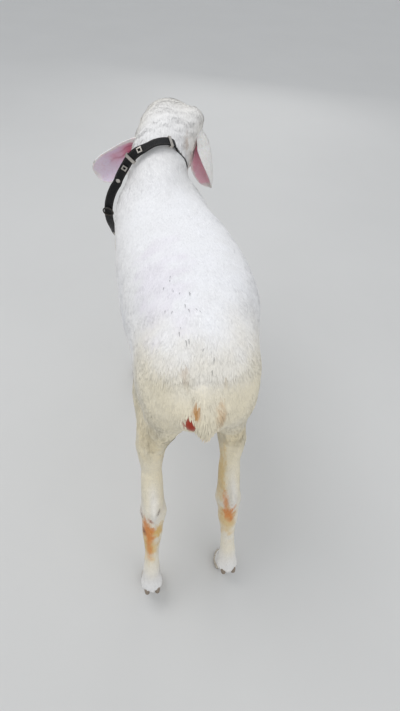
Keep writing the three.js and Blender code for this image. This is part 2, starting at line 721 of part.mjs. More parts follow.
/** A lop ear: a cupped leaf that leaves the head sideways, solid at its root and thin past it. */
function ear({ root, bend, way, hollow, curl, crease, flare }, grow = 0) {
  const start = onHead(root.x, root.y, root.z);
  const end = start.clone().addScaledVector(way.clone().normalize(), EAR_LENGTH);
  const curve = new THREE.QuadraticBezierCurve3(start, start.clone().add(bend), end);
  return skinRings([...Array(EAR_RINGS + 1).keys()].map((r) => {
    const t = 1 - (1 - r / EAR_RINGS) ** 1.5;
    const stage = t < 0.5 ? 0 : 1;
    const share = 2 * t - stage;
    const tangent = curve.getTangent(t);
    const facing = hollow[stage].clone().lerp(hollow[stage + 1], share);
    const normal = facing.addScaledVector(tangent, -facing.dot(tangent)).normalize();
    const side = tangent.clone().cross(normal);
    const width = Math.max(0.5 * EAR_WIDTH * leaf(t), 3) + grow;
    const thick = 0.5 * lerp(1.7 * EAR_THICKNESS, EAR_THICKNESS, Math.min(3 * t, 1)) + grow;
    const filled = Math.max(1 - t / EAR_ROOT, 0);
    const section = earSection(lerp(curl[stage], curl[stage + 1], share), crease);
    const brim = section[0].rise;
    const broader = flare[0] * Math.exp(-((t / 0.36) ** 2))
      + flare[1] * THREE.MathUtils.smoothstep(t, 0.15, 0.5);
    const place = ({ across, rise, u, lean, up }, face) => {
      const fill = face > 0 ? filled : 0;
      const depth = face * thick * (1 - 0.45 * u * u);
      const reach = width * (1 + (across > 0 ? broader : 0));
      return curve.getPoint(t)
        .addScaledVector(side, reach * across + depth * lerp(lean, 0, fill))
        .addScaledVector(normal, reach * lerp(rise, brim, fill) + depth * lerp(up, 1, fill));
    };
    const hollowFace = section.map((point) => place(point, 1));
    const outerFace = section.map((point) => place(point, -1));
    return [...hollowFace, ...outerFace.reverse()];
  }));
}

/** The eyeball, optionally larger for its socket. */
function eye(sign, grow = 0) {
  const ball = new THREE.SphereGeometry(EYE_RADIUS + grow, 12, 8);
  const at = onHead(sign * EYE.right, EYE.ahead, EYE.above);
  ball.translate(at.x, at.y, at.z);
  return ball;
}

// ---------------------------------------------------------------- the collar's strap

const COLLAR = { at: v(-25, 634, 668), along: v(-0.2, 0.92, 0.32).normalize() };
const STRAP_CLEAR = 4.2; // room between the strap and the coat under it
const STRAP_PRESS = 10; // how far a pull from the left sinks it in the coat of the right side
const PRESSED_FROM = { start: 5, whole: 40, fading: 115, end: 150 }; // degrees right of the nape
const STRAP_SLACK = 38; // how far the strap hangs clear under the throat
const STRAP_SWING = 30; // how far a pull has drawn its left side out from the neck
const STRAP_DRAG = 4; // and how far back
const STRAP_DRAWN = v(-0.75, 0, -0.66); // the way of that pull
const NAPE_LIE = v(0.02, 0.94, 0.33); // the way across the strap on the nape
const DRAWN_LIE = v(-0.9, 0.2, 0.38); // and where it is drawn out, broadside to the animal's back
const DRAWN_FROM = { start: 8, whole: 52, fading: 135, end: 175 }; // degrees left of the nape

/** The way out from the middle of the collar at a turn to the right of the nape. */
function strapWay(turn) {
  const up = v(0, 0, 1).addScaledVector(COLLAR.along, -COLLAR.along.z).normalize();
  const side = COLLAR.along.clone().cross(up);
  return up.multiplyScalar(Math.cos(turn)).addScaledVector(side, Math.sin(turn));
}

/** Share, from 0 to 1, of an effect that comes and goes over a stretch of the strap, in degrees. */
function stretch(degrees, { start, whole, fading, end }) {
  const { smoothstep } = THREE.MathUtils;
  return smoothstep(degrees, start, whole) * (1 - smoothstep(degrees, fading, end));
}

/** Room between the strap and the coat at a turn, below zero where it sinks in. */
function strapRoom(turn) {
  return STRAP_CLEAR - STRAP_PRESS * stretch(THREE.MathUtils.radToDeg(turn), PRESSED_FROM);
}

/** Middle of the strap's inner face at a turn, before its edges are brought clear of the coat. */
function strapMiddle(turn) {
  const way = strapWay(turn);
  const low = 0.5 - 0.5 * Math.cos(turn);
  const drawn = Math.max(way.dot(STRAP_DRAWN), 0) ** 2.5;
  const centre = COLLAR.at.clone().addScaledVector(COLLAR.along, -STRAP_DRAG * drawn);
  const clear = strapRoom(turn) + STRAP_SLACK * low ** 5 + STRAP_SWING * drawn;
  return centre.clone().addScaledVector(way, cast(body, centre, way, 160) + clear);
}

/** The way across the strap's width at a turn to the right of the nape. */
function strapLie(turn) {
  const right = THREE.MathUtils.radToDeg(turn > Math.PI ? turn - 2 * Math.PI : turn);
  const nape = 1 - THREE.MathUtils.smoothstep(Math.abs(right), 0, DRAWN_FROM.whole);
  return COLLAR.along.clone().lerp(NAPE_LIE, nape).lerp(DRAWN_LIE, stretch(-right, DRAWN_FROM));
}

/** Place and directions of the strap at a turn: along it, across it, and out from the neck. */
function strapStation(turn) {
  const at = strapMiddle(turn);
  const ahead = strapMiddle(turn + 0.05).sub(strapMiddle(turn - 0.05)).normalize();
  const lie = strapLie(turn);
  const across = lie.addScaledVector(ahead, -lie.dot(ahead)).normalize();
  const out = ahead.clone().cross(across);
  const edges = [-0.5, 0.5].map((share) => at.clone().addScaledVector(across, share * STRAP_WIDTH));
  while (edges.some((edge) => body(edge) < strapRoom(turn))) {
    [at, ...edges].forEach((point) => point.add(strapWay(turn)));
  }
  return { at, across, out };
}

const STATIONS = [...Array(STRAP_SIDES).keys()].map((k) => strapStation((2 * Math.PI * k) / STRAP_SIDES));

/** The strap as a closed loop of flat sections, optionally larger for the groove it lies in. */
function strap(grow = 0) {
  const half = STRAP_WIDTH / 2 + grow;
  const top = STRAP_THICKNESS + grow;
  const corners = [[-half, -grow], [half, -grow], [half, top], [-half, top]];
  const points = STATIONS.flatMap(({ at, across, out }) => corners.map(([aside, height]) => at.clone()
    .addScaledVector(across, aside)
    .addScaledVector(out, height)));
  const triangles = [];
  for (let s = 0; s < STRAP_SIDES; s += 1) {
    const next = (s + 1) % STRAP_SIDES;
    for (let c = 0; c < 4; c += 1) {
      const [a, b] = [4 * s + c, 4 * s + ((c + 1) % 4)];
      const [d, e] = [4 * next + c, 4 * next + ((c + 1) % 4)];
      triangles.push([a, b, e], [a, e, d]);
    }
  }
  return solid(points, triangles);
}

/** Sets a fitting that lies flat in XY, Z outward, on the strap in the middle of a segment. */
function sitOnStrap(geometry, segment, height) {
  const [a, b] = [segment, segment + 1].map((k) => STATIONS[(k + STRAP_SIDES) % STRAP_SIDES]);
  const ahead = b.at.clone().sub(a.at).normalize();
  const mean = a.across.clone().add(b.across);
  const width = mean.addScaledVector(ahead, -mean.dot(ahead)).normalize();
  const out = ahead.clone().cross(width);
  const at = a.at.clone().add(b.at).multiplyScalar(0.5).addScaledVector(out, height);
  geometry.applyMatrix4(new THREE.Matrix4().makeBasis(ahead, width, out).setPosition(at));
  return geometry;
}

/** A flat rectangular frame with a rectangular window. */
function frame(along, across, wire, thickness) {
  const shape = new THREE.Shape();
  const rectangle = (path, w, h) => {
    path.moveTo(-w / 2, -h / 2);
    path.lineTo(w / 2, -h / 2);
    path.lineTo(w / 2, h / 2);
    path.lineTo(-w / 2, h / 2);
    path.closePath();
  };
  rectangle(shape, along, across);
  const hole = new THREE.Path();
  rectangle(hole, along - 2 * wire, across - 2 * wire);
  shape.holes.push(hole);
  return new THREE.ExtrudeGeometry(shape, { depth: thickness, bevelEnabled: false });
}

/** A slide: a loop of flat metal round the strap. */
function slide() {
  const loop = frame(STRAP_WIDTH + 5.6, STRAP_THICKNESS + 4.6, 1.4, SLIDE_WIDTH);
  loop.translate(0, 0, -SLIDE_WIDTH / 2);
  loop.rotateX(Math.PI / 2);
  loop.rotateZ(Math.PI / 2);
  return loop;
}

// ---------------------------------------------------------------- trunk, neck and head

const NECK_CUT = { at: v(0, 586, 612), along: v(0, 0.77, 0.64) };
const HEAD_CUT = { at: onHead(0, -20, -10), along: v(0, 0.99, 0.12) };
const THIGH_CUTS = (sign) => [
  { at: v(0, 0, 516), along: v(sign * 0.6, 0, -0.8) },
  { at: v(sign * 22, 0, 0), along: v(sign, 0, 0) },
  { at: v(0, 220, 440), along: v(0, -0.907, -0.42) },
];
const ARM_CUTS = (sign) => [
  { at: v(FORE_MIDDLE + sign * 36, 556, 430), along: v(sign * 0.3, 0, -0.95) },
  { at: v(FORE_MIDDLE + sign * 36, 0, 0), along: v(sign, 0, 0) },
  { at: v(0, 496, 425), along: v(0, 0.95, -0.3) },
];

/** Solid block on the far side of every plane in a list. */
function wedge(planes, start = 0) {
  return planes.map(({ at, along }) => beyond(at, along, start)).reduce((a, b) => a.intersect(b));
}

const torso = toSolid(net(body, v(-180, -40, 318), v(180, 740, 745), TRUNK_CELL));
const behindNeck = torso.subtract(beyond(NECK_CUT.at, NECK_CUT.along));
/** A tall block round one leg, so that a cut across it leaves the rest of the body alone. */
function nearLeg(at) {
  const block = new THREE.BoxGeometry(130, 170, 240);
  block.translate(at.x + Math.sign(at.x) * 30, at.y, at.z - 60);
  return toSolid(block);
}

const trimmed = Object.values(legTops).reduce(
  (rest, { at, along }) => rest.subtract(beyond(at, along, -GAP).intersect(nearLeg(at))),
  behindNeck,
);
let trunk = trimmed.subtract(toSolid(tail(GAP)));
SIDES.forEach(({ name, sign }) => {
  const thighs = wedge(THIGH_CUTS(sign));
  const arms = wedge(ARM_CUTS(sign));
  add(`thigh_${name}`, toGeometry(trimmed.intersect(wedge(THIGH_CUTS(sign), GAP))), 'coat');
  add(`upper_arm_${name}`, toGeometry(trimmed.intersect(wedge(ARM_CUTS(sign), GAP))), 'coat');
  trunk = trunk.subtract(thighs).subtract(arms);
});
add('trunk', toGeometry(trunk), 'coat');
add('tail', tail(), 'coat');

const neckBlock = net(body, v(-130, 480, 470), v(130, 800, 880), NECK_CELL);
const earSockets = EARS.map((shape) => toSolid(ear(shape, SOCKET_GAP)));
const groove = toSolid(strap(GAP));
const neck = [...earSockets, groove].reduce(
  (rest, socket) => rest.subtract(socket),
  toSolid(neckBlock).intersect(beyond(NECK_CUT.at, NECK_CUT.along, GAP))
    .subtract(beyond(HEAD_CUT.at, HEAD_CUT.along)),
);
add('neck', withoutCrumbs(toGeometry(neck)), 'coat');

const headBlock = net(body, v(-110, 668, 520), v(110, 970, 880), HEAD_CELL);
const eyeSockets = SIDES.map(({ sign }) => toSolid(eye(sign, GAP)));
const head = [...earSockets, ...eyeSockets].reduce(
  (rest, socket) => rest.subtract(socket),
  toSolid(headBlock).intersect(beyond(HEAD_CUT.at, HEAD_CUT.along, GAP)),
);
add('head', withoutCrumbs(toGeometry(head)), 'coat');
EARS.forEach((shape) => add(`ear_${shape.side}`, ear(shape), 'earSkin'));
SIDES.forEach(({ name, sign }) => add(`eye_${name}`, eye(sign), 'eye'));

// ---------------------------------------------------------------- the collar's fittings

// Which segment of the strap carries each fitting, counted rightward from the nape.
const BUCKLE_SEGMENT = 16;
const SLIDE_SEGMENTS = [-6, 1];
const EYELET_SEGMENTS = [-4, -8];
const STUD_SEGMENTS = [-11, -19, 19];
const RING_SEGMENT = -16;
const SEATED = STRAP_THICKNESS + 0.8; // height of a fitting's foot over the strap's inner face
const BUCKLE = { along: 26, wire: 3.4, thickness: 3 };
const SLIDE_WIDTH = 7;
const EYELET = { wire: 2.6, thickness: 2 };
const RING = { radius: 12, wire: 1.8 };

add('collar_strap', strap(), 'leather');
const buckle = frame(BUCKLE.along, STRAP_WIDTH + 8, BUCKLE.wire, BUCKLE.thickness);
add('collar_buckle', sitOnStrap(buckle, BUCKLE_SEGMENT, SEATED), 'steel');
add('collar_tongue', sitOnStrap(new THREE.BoxGeometry(18, 3, 2.4), BUCKLE_SEGMENT, SEATED + 1.5), 'steel');
SLIDE_SEGMENTS.forEach((segment, k) => {
  add(`collar_slide_${k + 1}`, sitOnStrap(slide(), segment, STRAP_THICKNESS / 2), 'steel');
});
EYELET_SEGMENTS.forEach((segment, k) => {
  const eyelet = frame(STUD_SIZE, STUD_SIZE, EYELET.wire, EYELET.thickness);
  add(`collar_eyelet_${k + 1}`, sitOnStrap(eyelet, segment, SEATED + 0.8), 'steel');
});
STUD_SEGMENTS.forEach((segment, k) => {
  const stud = new THREE.ConeGeometry(0.5 * STUD_SIZE, 3.6, 8);
  stud.rotateX(Math.PI / 2);
  add(`collar_stud_${k + 1}`, sitOnStrap(stud, segment, SEATED + 1.8), 'steel');
});
const ring = new THREE.TorusGeometry(RING.radius, RING.wire, 6, 16);
add('collar_ring', sitOnStrap(ring, RING_SEGMENT, SEATED + 2), 'steel');

// ---------------------------------------------------------------- frame

const box = new THREE.Box3().setFromObject(model);
const middle = box.getCenter(v(0, 0, 0));
model.position.set(-middle.x, -middle.y, -box.min.z);

export default model;
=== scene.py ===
"""Looks of a life-size white lop-eared sheep that wears a loose studded leather collar.

Metres, +Z up, +Y from tail to head, +X to the animal's right. One skin stands for every length of
flesh, locks of hair lie over it, and eyes, hooves, ears and the collar are pieces of their own.
"""

from __future__ import annotations

import logging
import math
from collections.abc import Iterator
from contextlib import contextmanager
from dataclasses import astuple, dataclass, field
from enum import Enum

import bmesh
import bpy
import numpy as np
from mathutils import Matrix, Vector
from mathutils.bvhtree import BVHTree
from numpy.linalg import norm

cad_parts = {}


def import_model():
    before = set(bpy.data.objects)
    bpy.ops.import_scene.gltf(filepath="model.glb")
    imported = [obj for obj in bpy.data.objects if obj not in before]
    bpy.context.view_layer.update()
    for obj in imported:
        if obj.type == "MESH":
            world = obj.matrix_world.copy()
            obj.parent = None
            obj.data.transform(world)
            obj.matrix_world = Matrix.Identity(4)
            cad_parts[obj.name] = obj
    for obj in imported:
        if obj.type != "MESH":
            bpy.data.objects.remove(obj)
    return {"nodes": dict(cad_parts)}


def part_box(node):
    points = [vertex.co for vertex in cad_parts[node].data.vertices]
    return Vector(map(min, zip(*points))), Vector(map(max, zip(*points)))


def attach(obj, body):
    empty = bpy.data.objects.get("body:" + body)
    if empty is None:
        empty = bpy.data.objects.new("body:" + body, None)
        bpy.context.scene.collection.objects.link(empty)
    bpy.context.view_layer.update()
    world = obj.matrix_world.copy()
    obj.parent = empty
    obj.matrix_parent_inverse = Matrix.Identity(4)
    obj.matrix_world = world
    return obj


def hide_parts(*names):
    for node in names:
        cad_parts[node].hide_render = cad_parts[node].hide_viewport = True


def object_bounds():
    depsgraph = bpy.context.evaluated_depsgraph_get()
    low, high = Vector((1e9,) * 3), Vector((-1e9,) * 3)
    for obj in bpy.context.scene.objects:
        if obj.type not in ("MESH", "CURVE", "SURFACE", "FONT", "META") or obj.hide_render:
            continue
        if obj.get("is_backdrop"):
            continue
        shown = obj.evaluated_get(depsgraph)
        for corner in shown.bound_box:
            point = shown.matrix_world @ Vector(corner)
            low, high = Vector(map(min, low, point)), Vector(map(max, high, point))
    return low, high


Array = np.ndarray
Mesh = bpy.types.Mesh
Piece = bpy.types.Object
Socket = bpy.types.NodeSocket
Outputs = bpy.types.NodeOutputs
NodeTree = bpy.types.NodeTree
Colour = tuple[float, float, float, float]

LOG = logging.getLogger("sheep")
BODY = "root"
COLOUR = "coat_colour"
MM = 0.001
HASH_PRIMES = np.array([73856093, 19349663, 83492791], np.int64)
HASH_SEED = 2654435761
HASH_MIX = 1274126177


class Side(Enum):
    """Side of the animal; the value is the sign of its place along +X."""

    LEFT = -1
    RIGHT = 1

    @property
    def label(self) -> str:
        """Word used in node and piece names."""
        return self.name.lower()


class Region(Enum):
    """Stretch of the body that wears one kind of coat."""

    TRUNK = 0
    NECK = 1
    HEAD = 2
    TAIL = 3
    THIGH = 4
    ARM = 5
    SHANK = 6
    FOOT = 7


# ---- small maths


def unit(vectors: Array) -> Array:
    """Vectors scaled to length one along the last axis."""
    length = norm(vectors, axis=-1, keepdims=True)
    return vectors / np.maximum(length, 1e-12)


def ramp(values: Array, low: float, high: float) -> Array:
    """Smooth step from 0 at low to 1 at high; low may be the larger of the two."""
    t = np.clip((values - low) / (high - low), 0.0, 1.0)
    return t * t * (3.0 - 2.0 * t)


def bell(values: Array, width: float) -> Array:
    """Bell curve: 1 at zero, and close to 0 beyond twice the width."""
    return np.exp(-((values / width) ** 2))


def spin(axis: int, angle: float) -> Array:
    """Rotation matrix about axis 0, 1 or 2 by an angle in radians."""
    return np.array(Matrix.Rotation(angle, 3, "XYZ"[axis]))


def lattice_noise(points: Array, size: float, seed: int) -> Array:
    """Smooth noise between -1 and 1 on a cubic lattice.

    Args:
        points: Places, one row each.
        size: Edge of a lattice cell in metres.
        seed: Number that picks the pattern.

    Returns:
        One number for each place.
    """
    scaled = points / size
    cell = np.floor(scaled).astype(np.int64)
    part = scaled - cell
    part = part * part * (3.0 - 2.0 * part)
    total = np.zeros(len(points))
    for corner in range(8):
        step = np.array([corner & 1, (corner >> 1) & 1, (corner >> 2) & 1])
        x, y, z = ((cell + step) * HASH_PRIMES).T
        code = x ^ y ^ z ^ seed * HASH_SEED
        code = (code ^ (code >> 13)) * HASH_MIX & 0x7FFFFFFF
        value = ((code ^ (code >> 16)) & 0xFFFF) / 32767.5 - 1.0
        total += value * np.prod(np.where(step == 1, part, 1.0 - part), axis=1)
    return total


def spread(values: Array, edges: Array, passes: int, share: Array | float) -> Array:
    """Values averaged with their neighbours along a mesh's edges.

    Args:
        values: One row or number for each vertex.
        edges: Pairs of vertex numbers.
        passes: How many times to average.
        share: How far each value goes towards its neighbours' mean.

    Returns:
        The averaged values.
    """
    size = len(values)
    flat = values.reshape(size, -1).astype(float)
    first, second = edges.T
    count = np.maximum(np.bincount(edges.ravel(), minlength=size), 1)[:, None]
    pull = share[:, None] if isinstance(share, Array) else share
    for _ in range(passes):
        total = [
            np.bincount(first, column[second], size) + np.bincount(second, column[first], size)
            for column in flat.T
        ]
        flat = flat + pull * (np.stack(total, axis=1) / count - flat)
    return flat.reshape(values.shape)


# ---- meshes


@dataclass
class Solid:
    """Vertices and faces of a mesh on their way to becoming a piece."""

    points: Array
    faces: Array
    colour: Array | None = None
    uv: Array | None = None
    facing: Array | None = None
    extra: dict[str, Array] = field(default_factory=dict)

    def to_object(self, name: str, smooth: bool = True) -> Piece:
        """Makes the Blender object and links it to the scene.

        Args:
            name: Name of the piece.
            smooth: Whether the faces shade smoothly.

        Returns:
            The new object.
        """
        mesh = bpy.data.meshes.new(name)
        sides = self.faces.shape[1]
        mesh.vertices.add(len(self.points))
        mesh.vertices.foreach_set("co", self.points.astype(np.float32).ravel())
        mesh.loops.add(self.faces.size)
        mesh.loops.foreach_set("vertex_index", self.faces.astype(np.int32).ravel())
        mesh.polygons.add(len(self.faces))
        mesh.polygons.foreach_set("loop_start", np.arange(0, self.faces.size, sides, dtype=np.int32))
        mesh.update(calc_edges=True)
        mesh.polygons.foreach_set("use_smooth", np.full(len(self.faces), smooth))
        if self.colour is not None:
            paint(mesh, self.colour)
        for label, vectors in self.extra.items():
            layer = mesh.attributes.new(label, "FLOAT_VECTOR", "POINT")
            layer.data.foreach_set("vector", vectors.astype(np.float32).ravel())
        if self.uv is not None:
            layer = mesh.uv_layers.new(name="OFBake")
            layer.data.foreach_set("uv", self.uv[self.faces.ravel()].astype(np.float32).ravel())
        if self.facing is not None:
            mesh.normals_split_custom_set_from_vertices(self.facing.tolist())
        return link(name, mesh)


def link(name: str, data: bpy.types.ID) -> Piece:
    """Makes an object that shows the data and links it to the scene.

    Args:
        name: Name of the object.
        data: Mesh, lamp or camera to show.

    Returns:
        The object.
    """
    piece = bpy.data.objects.new(name, data)
    bpy.context.scene.collection.objects.link(piece)
    return piece


@contextmanager
def opened(mesh: Mesh) -> Iterator[bmesh.types.BMesh]:
    """Opens a mesh for changes, which it takes over at the end.

    Args:
        mesh: Mesh to change.

    Yields:
        The open mesh.
    """
    work = bmesh.new()
    work.from_mesh(mesh)
    work.verts.ensure_lookup_table()
    yield work
    work.to_mesh(mesh)
    work.free()


def paint(mesh: Mesh, colour: Array) -> None:
    """Stores one colour for each vertex of a mesh.

    Args:
        mesh: Mesh to paint.
        colour: Linear red, green and blue for each vertex.
    """
    layer = mesh.color_attributes.new(name=COLOUR, type="FLOAT_COLOR", domain="POINT")
    rgba = np.ones((len(colour), 4), np.float32)
    rgba[:, :3] = colour
    layer.data.foreach_set("color", rgba.ravel())


def merged_points(node: Piece) -> tuple[Array, list[list[int]], Array]:
    """Points, faces and outward normals of a CAD node, with its split corners joined.

    Args:
        node: The CAD node's object, which stays as it is.

    Returns:
        Points, faces as lists of point numbers, and one normal for each point.
    """
    work = bmesh.new()
    work.from_mesh(node.data)
    bmesh.ops.remove_doubles(work, verts=work.verts, dist=2e-6)
    bmesh.ops.recalc_face_normals(work, faces=work.faces)
    work.normal_update()
    work.verts.index_update()
    points = np.array([v.co[:] for v in work.verts])
    normals = np.array([v.normal[:] for v in work.verts])
    faces = [[v.index for v in f.verts] for f in work.faces]
    work.free()
    return points, faces, normals


def remeshed(name: str, points: Array, faces: list[list[int]], voxel: float) -> Piece:
    """One closed even mesh round a set of overlapping closed ones.

    Args:
        name: Name of the new object.
        points: Points of all the closed meshes.
        faces: Their faces.
        voxel: Edge of the even cells in metres.

    Returns:
        The new object, linked to the scene.
    """
    source = bpy.data.meshes.new(name + "_source")
    source.from_pydata(points.tolist(), [], faces)
    work = link(name + "_source", source)
    modifier = work.modifiers.new("even", "REMESH")
    modifier.mode = "VOXEL"
    modifier.voxel_size = voxel
    depsgraph = bpy.context.evaluated_depsgraph_get()
    mesh = bpy.data.meshes.new_from_object(work.evaluated_get(depsgraph))
    bpy.data.objects.remove(work)
    bpy.data.meshes.remove(source)
    mesh.name = name
    return link(name, mesh)


def number_rows(items: object, key: str, width: int, kind: type = float) -> Array:
    """Reads a property of a mesh's vertices, edges or triangles.

    Args:
        items: Vertices, edges or triangles.
        key: Name of the property.
        width: Numbers that each item has.
        kind: Type of the numbers.

    Returns:
        The numbers, one row for each item.
    """
    flat = np.empty(len(items) * width, kind)
    items.foreach_get(key, flat)
    return flat.reshape(-1, width)


def point_array(mesh: Mesh) -> Array:
    """Places of a mesh's vertices."""
    return number_rows(mesh.vertices, "co", 3)


def edge_array(mesh: Mesh) -> Array:
    """Vertex numbers of a mesh's edges."""
    return number_rows(mesh.edges, "vertices", 2, np.int32)


def normal_array(mesh: Mesh) -> Array:
    """Normals of a mesh's vertices."""
    return number_rows(mesh.vertex_normals, "vector", 3, np.float32).astype(float)


def put_points(mesh: Mesh, points: Array) -> None:
    """Moves a mesh's vertices to new places, one row each."""
    mesh.vertices.foreach_set("co", points.astype(np.float32).ravel())
    mesh.update()


def place(piece: Piece, finish: Finish, slot: str, *nodes: str) -> None:
    """Dresses a piece, rides it on the body and hides the CAD nodes that it stands for.

    Args:
        piece: Object with its final shape.
        finish: Its material.
        slot: Not used.
        nodes: CAD nodes that it replaces.
    """
    finish.dress(piece)
    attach(piece, BODY)
    if nodes:
        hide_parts(*nodes)
    faces = sum(len(p.vertices) - 2 for p in piece.data.polygons)
    LOG.info("%s: %d triangles", piece.name, faces)


def loft(rings: Array, closed: bool = False) -> Array:
    """Faces over a grid of points whose rings are closed.

    Args:
        rings: Points as rings by places round a ring.
        closed: Whether the last ring joins the first; if not, both ends stay open.

    Returns:
        Quads as rows of point numbers.
    """
    count, sides = rings.shape[:2]
    last = count if closed else count - 1
    r, s = np.meshgrid(np.arange(last), np.arange(sides), indexing="ij")
    here, there = r * sides, ((r + 1) % count) * sides
    beside = (s + 1) % sides
    return np.stack([here + s, here + beside, there + beside, there + s], axis=-1).reshape(-1, 4)


def capped(rings: Array) -> Array:
    """Triangles over a grid of closed rings, with a fan to one more point at each end.

    Args:
        rings: Points as rings by places round a ring; the two end points are numbered after them.

    Returns:
        Triangles as rows of point numbers.
    """
    count, sides = rings.shape[:2]
    quads, size = loft(rings), count * sides
    ring = np.arange(sides)
    beside = (ring + 1) % sides
    last = size - sides
    top = np.stack([beside, ring, np.full(sides, size)], axis=1)
    bottom = np.stack([last + ring, last + beside, np.full(sides, size + 1)], axis=1)
    return np.concatenate([quads[:, [0, 1, 2]], quads[:, [0, 2, 3]], top, bottom])


# ---- landmarks


@dataclass(frozen=True)
class Landmarks:
    """Places on the animal that the looks are built from."""

    poll: Array
    axes: Array
    eyes: dict[Side, Array]
    eye_radius: float
    tail_root: Array
    tail_tip: Array
    hocks: dict[Side, Array]

    PITCH = -0.52
    ROLL = -0.14
    TURN = -0.1
    EYE_AHEAD = 0.080
    EYE_ABOVE = -0.002
    HOCK_IN = 0.03
    JAW = -130.0

    @classmethod
    def from_frame(cls) -> Landmarks:
        """Reads the landmarks from the boxes of the CAD nodes.

        Returns:
            The landmarks.
        """
        eyes = {side: np.array(sum(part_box(f"eye_{side.label}"), Vector()) / 2) for side in Side}
        low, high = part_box("eye_left")
        axes = spin(2, cls.TURN) @ spin(0, cls.PITCH) @ spin(1, cls.ROLL)
        between = (eyes[Side.LEFT] + eyes[Side.RIGHT]) / 2
        tail_low, tail_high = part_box("tail")
        across = (tail_low.x + tail_high.x) / 2
        hocks = {}
        for side in Side:
            under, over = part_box(f"hind_cannon_{side.label}")
            hocks[side] = np.array([(under.x + over.x) / 2, over.y - cls.HOCK_IN, over.z - cls.HOCK_IN])
        return cls(
            poll=between - axes @ np.array([0.0, cls.EYE_AHEAD, cls.EYE_ABOVE]),
            axes=axes,
            eyes=eyes,
            eye_radius=(high.x - low.x) / 2,
            tail_root=np.array([across, tail_high.y, tail_high.z]),
            tail_tip=np.array([across, tail_low.y, tail_low.z]),
            hocks=hocks,
        )

    def on_head(self, points: Array) -> Array:
        """Places in the head's own frame: right, ahead and above the poll, in millimetres."""
        return (points - self.poll) @ self.axes / MM

    def from_head(self, points: Array) -> Array:
        """Places in the row frame from millimetres right, ahead and above the poll."""
        return self.poll + np.asarray(points, float) * MM @ self.axes.T

    def in_head(self, points: Array, start: float) -> Array:
        """Which places lie in the head, ahead of a start given in millimetres from the poll."""
        local = self.on_head(points)
        return (local[:, 1] > start) & (local[:, 2] > self.JAW)

    def head_way(self, way: tuple[float, float, float]) -> Array:
        """Direction in the row frame from one in the head's own frame."""
        return unit(self.axes @ np.array(way, float))


# ---- markings


def tint(code: str) -> Array:
    """Linear red, green and blue of a hexadecimal display colour such as "ffeedd"."""
    parts = np.array([int(code[k : k + 2], 16) / 255.0 for k in (0, 2, 4)])
    return np.where(parts <= 0.04045, parts / 12.92, ((parts + 0.055) / 1.055) ** 2.4)


@dataclass(frozen=True)
class Spot:
    """A soft-edged stain or patch of another colour on the coat; some are painted shade or painted light.
    """

    centre: Array | tuple[float, float, float]
    radii: tuple[float, float, float]
    colour: str
    strength: float
    ragged: float = 0.4

    def amount(self, points: Array, seed: int) -> Array:
        """How much of the spot's colour lies at each place, between 0 and its strength.

        Args:
            points: Places in the row frame.
            seed: Number that picks the ragged edge.

        Returns:
            One number for each place.
        """
        reach = norm((points - self.centre) / self.radii, axis=1)
        reach = reach + self.ragged * lattice_noise(points, 0.35 * min(self.radii), seed)
        return self.strength * ramp(reach, 1.0, 0.25)


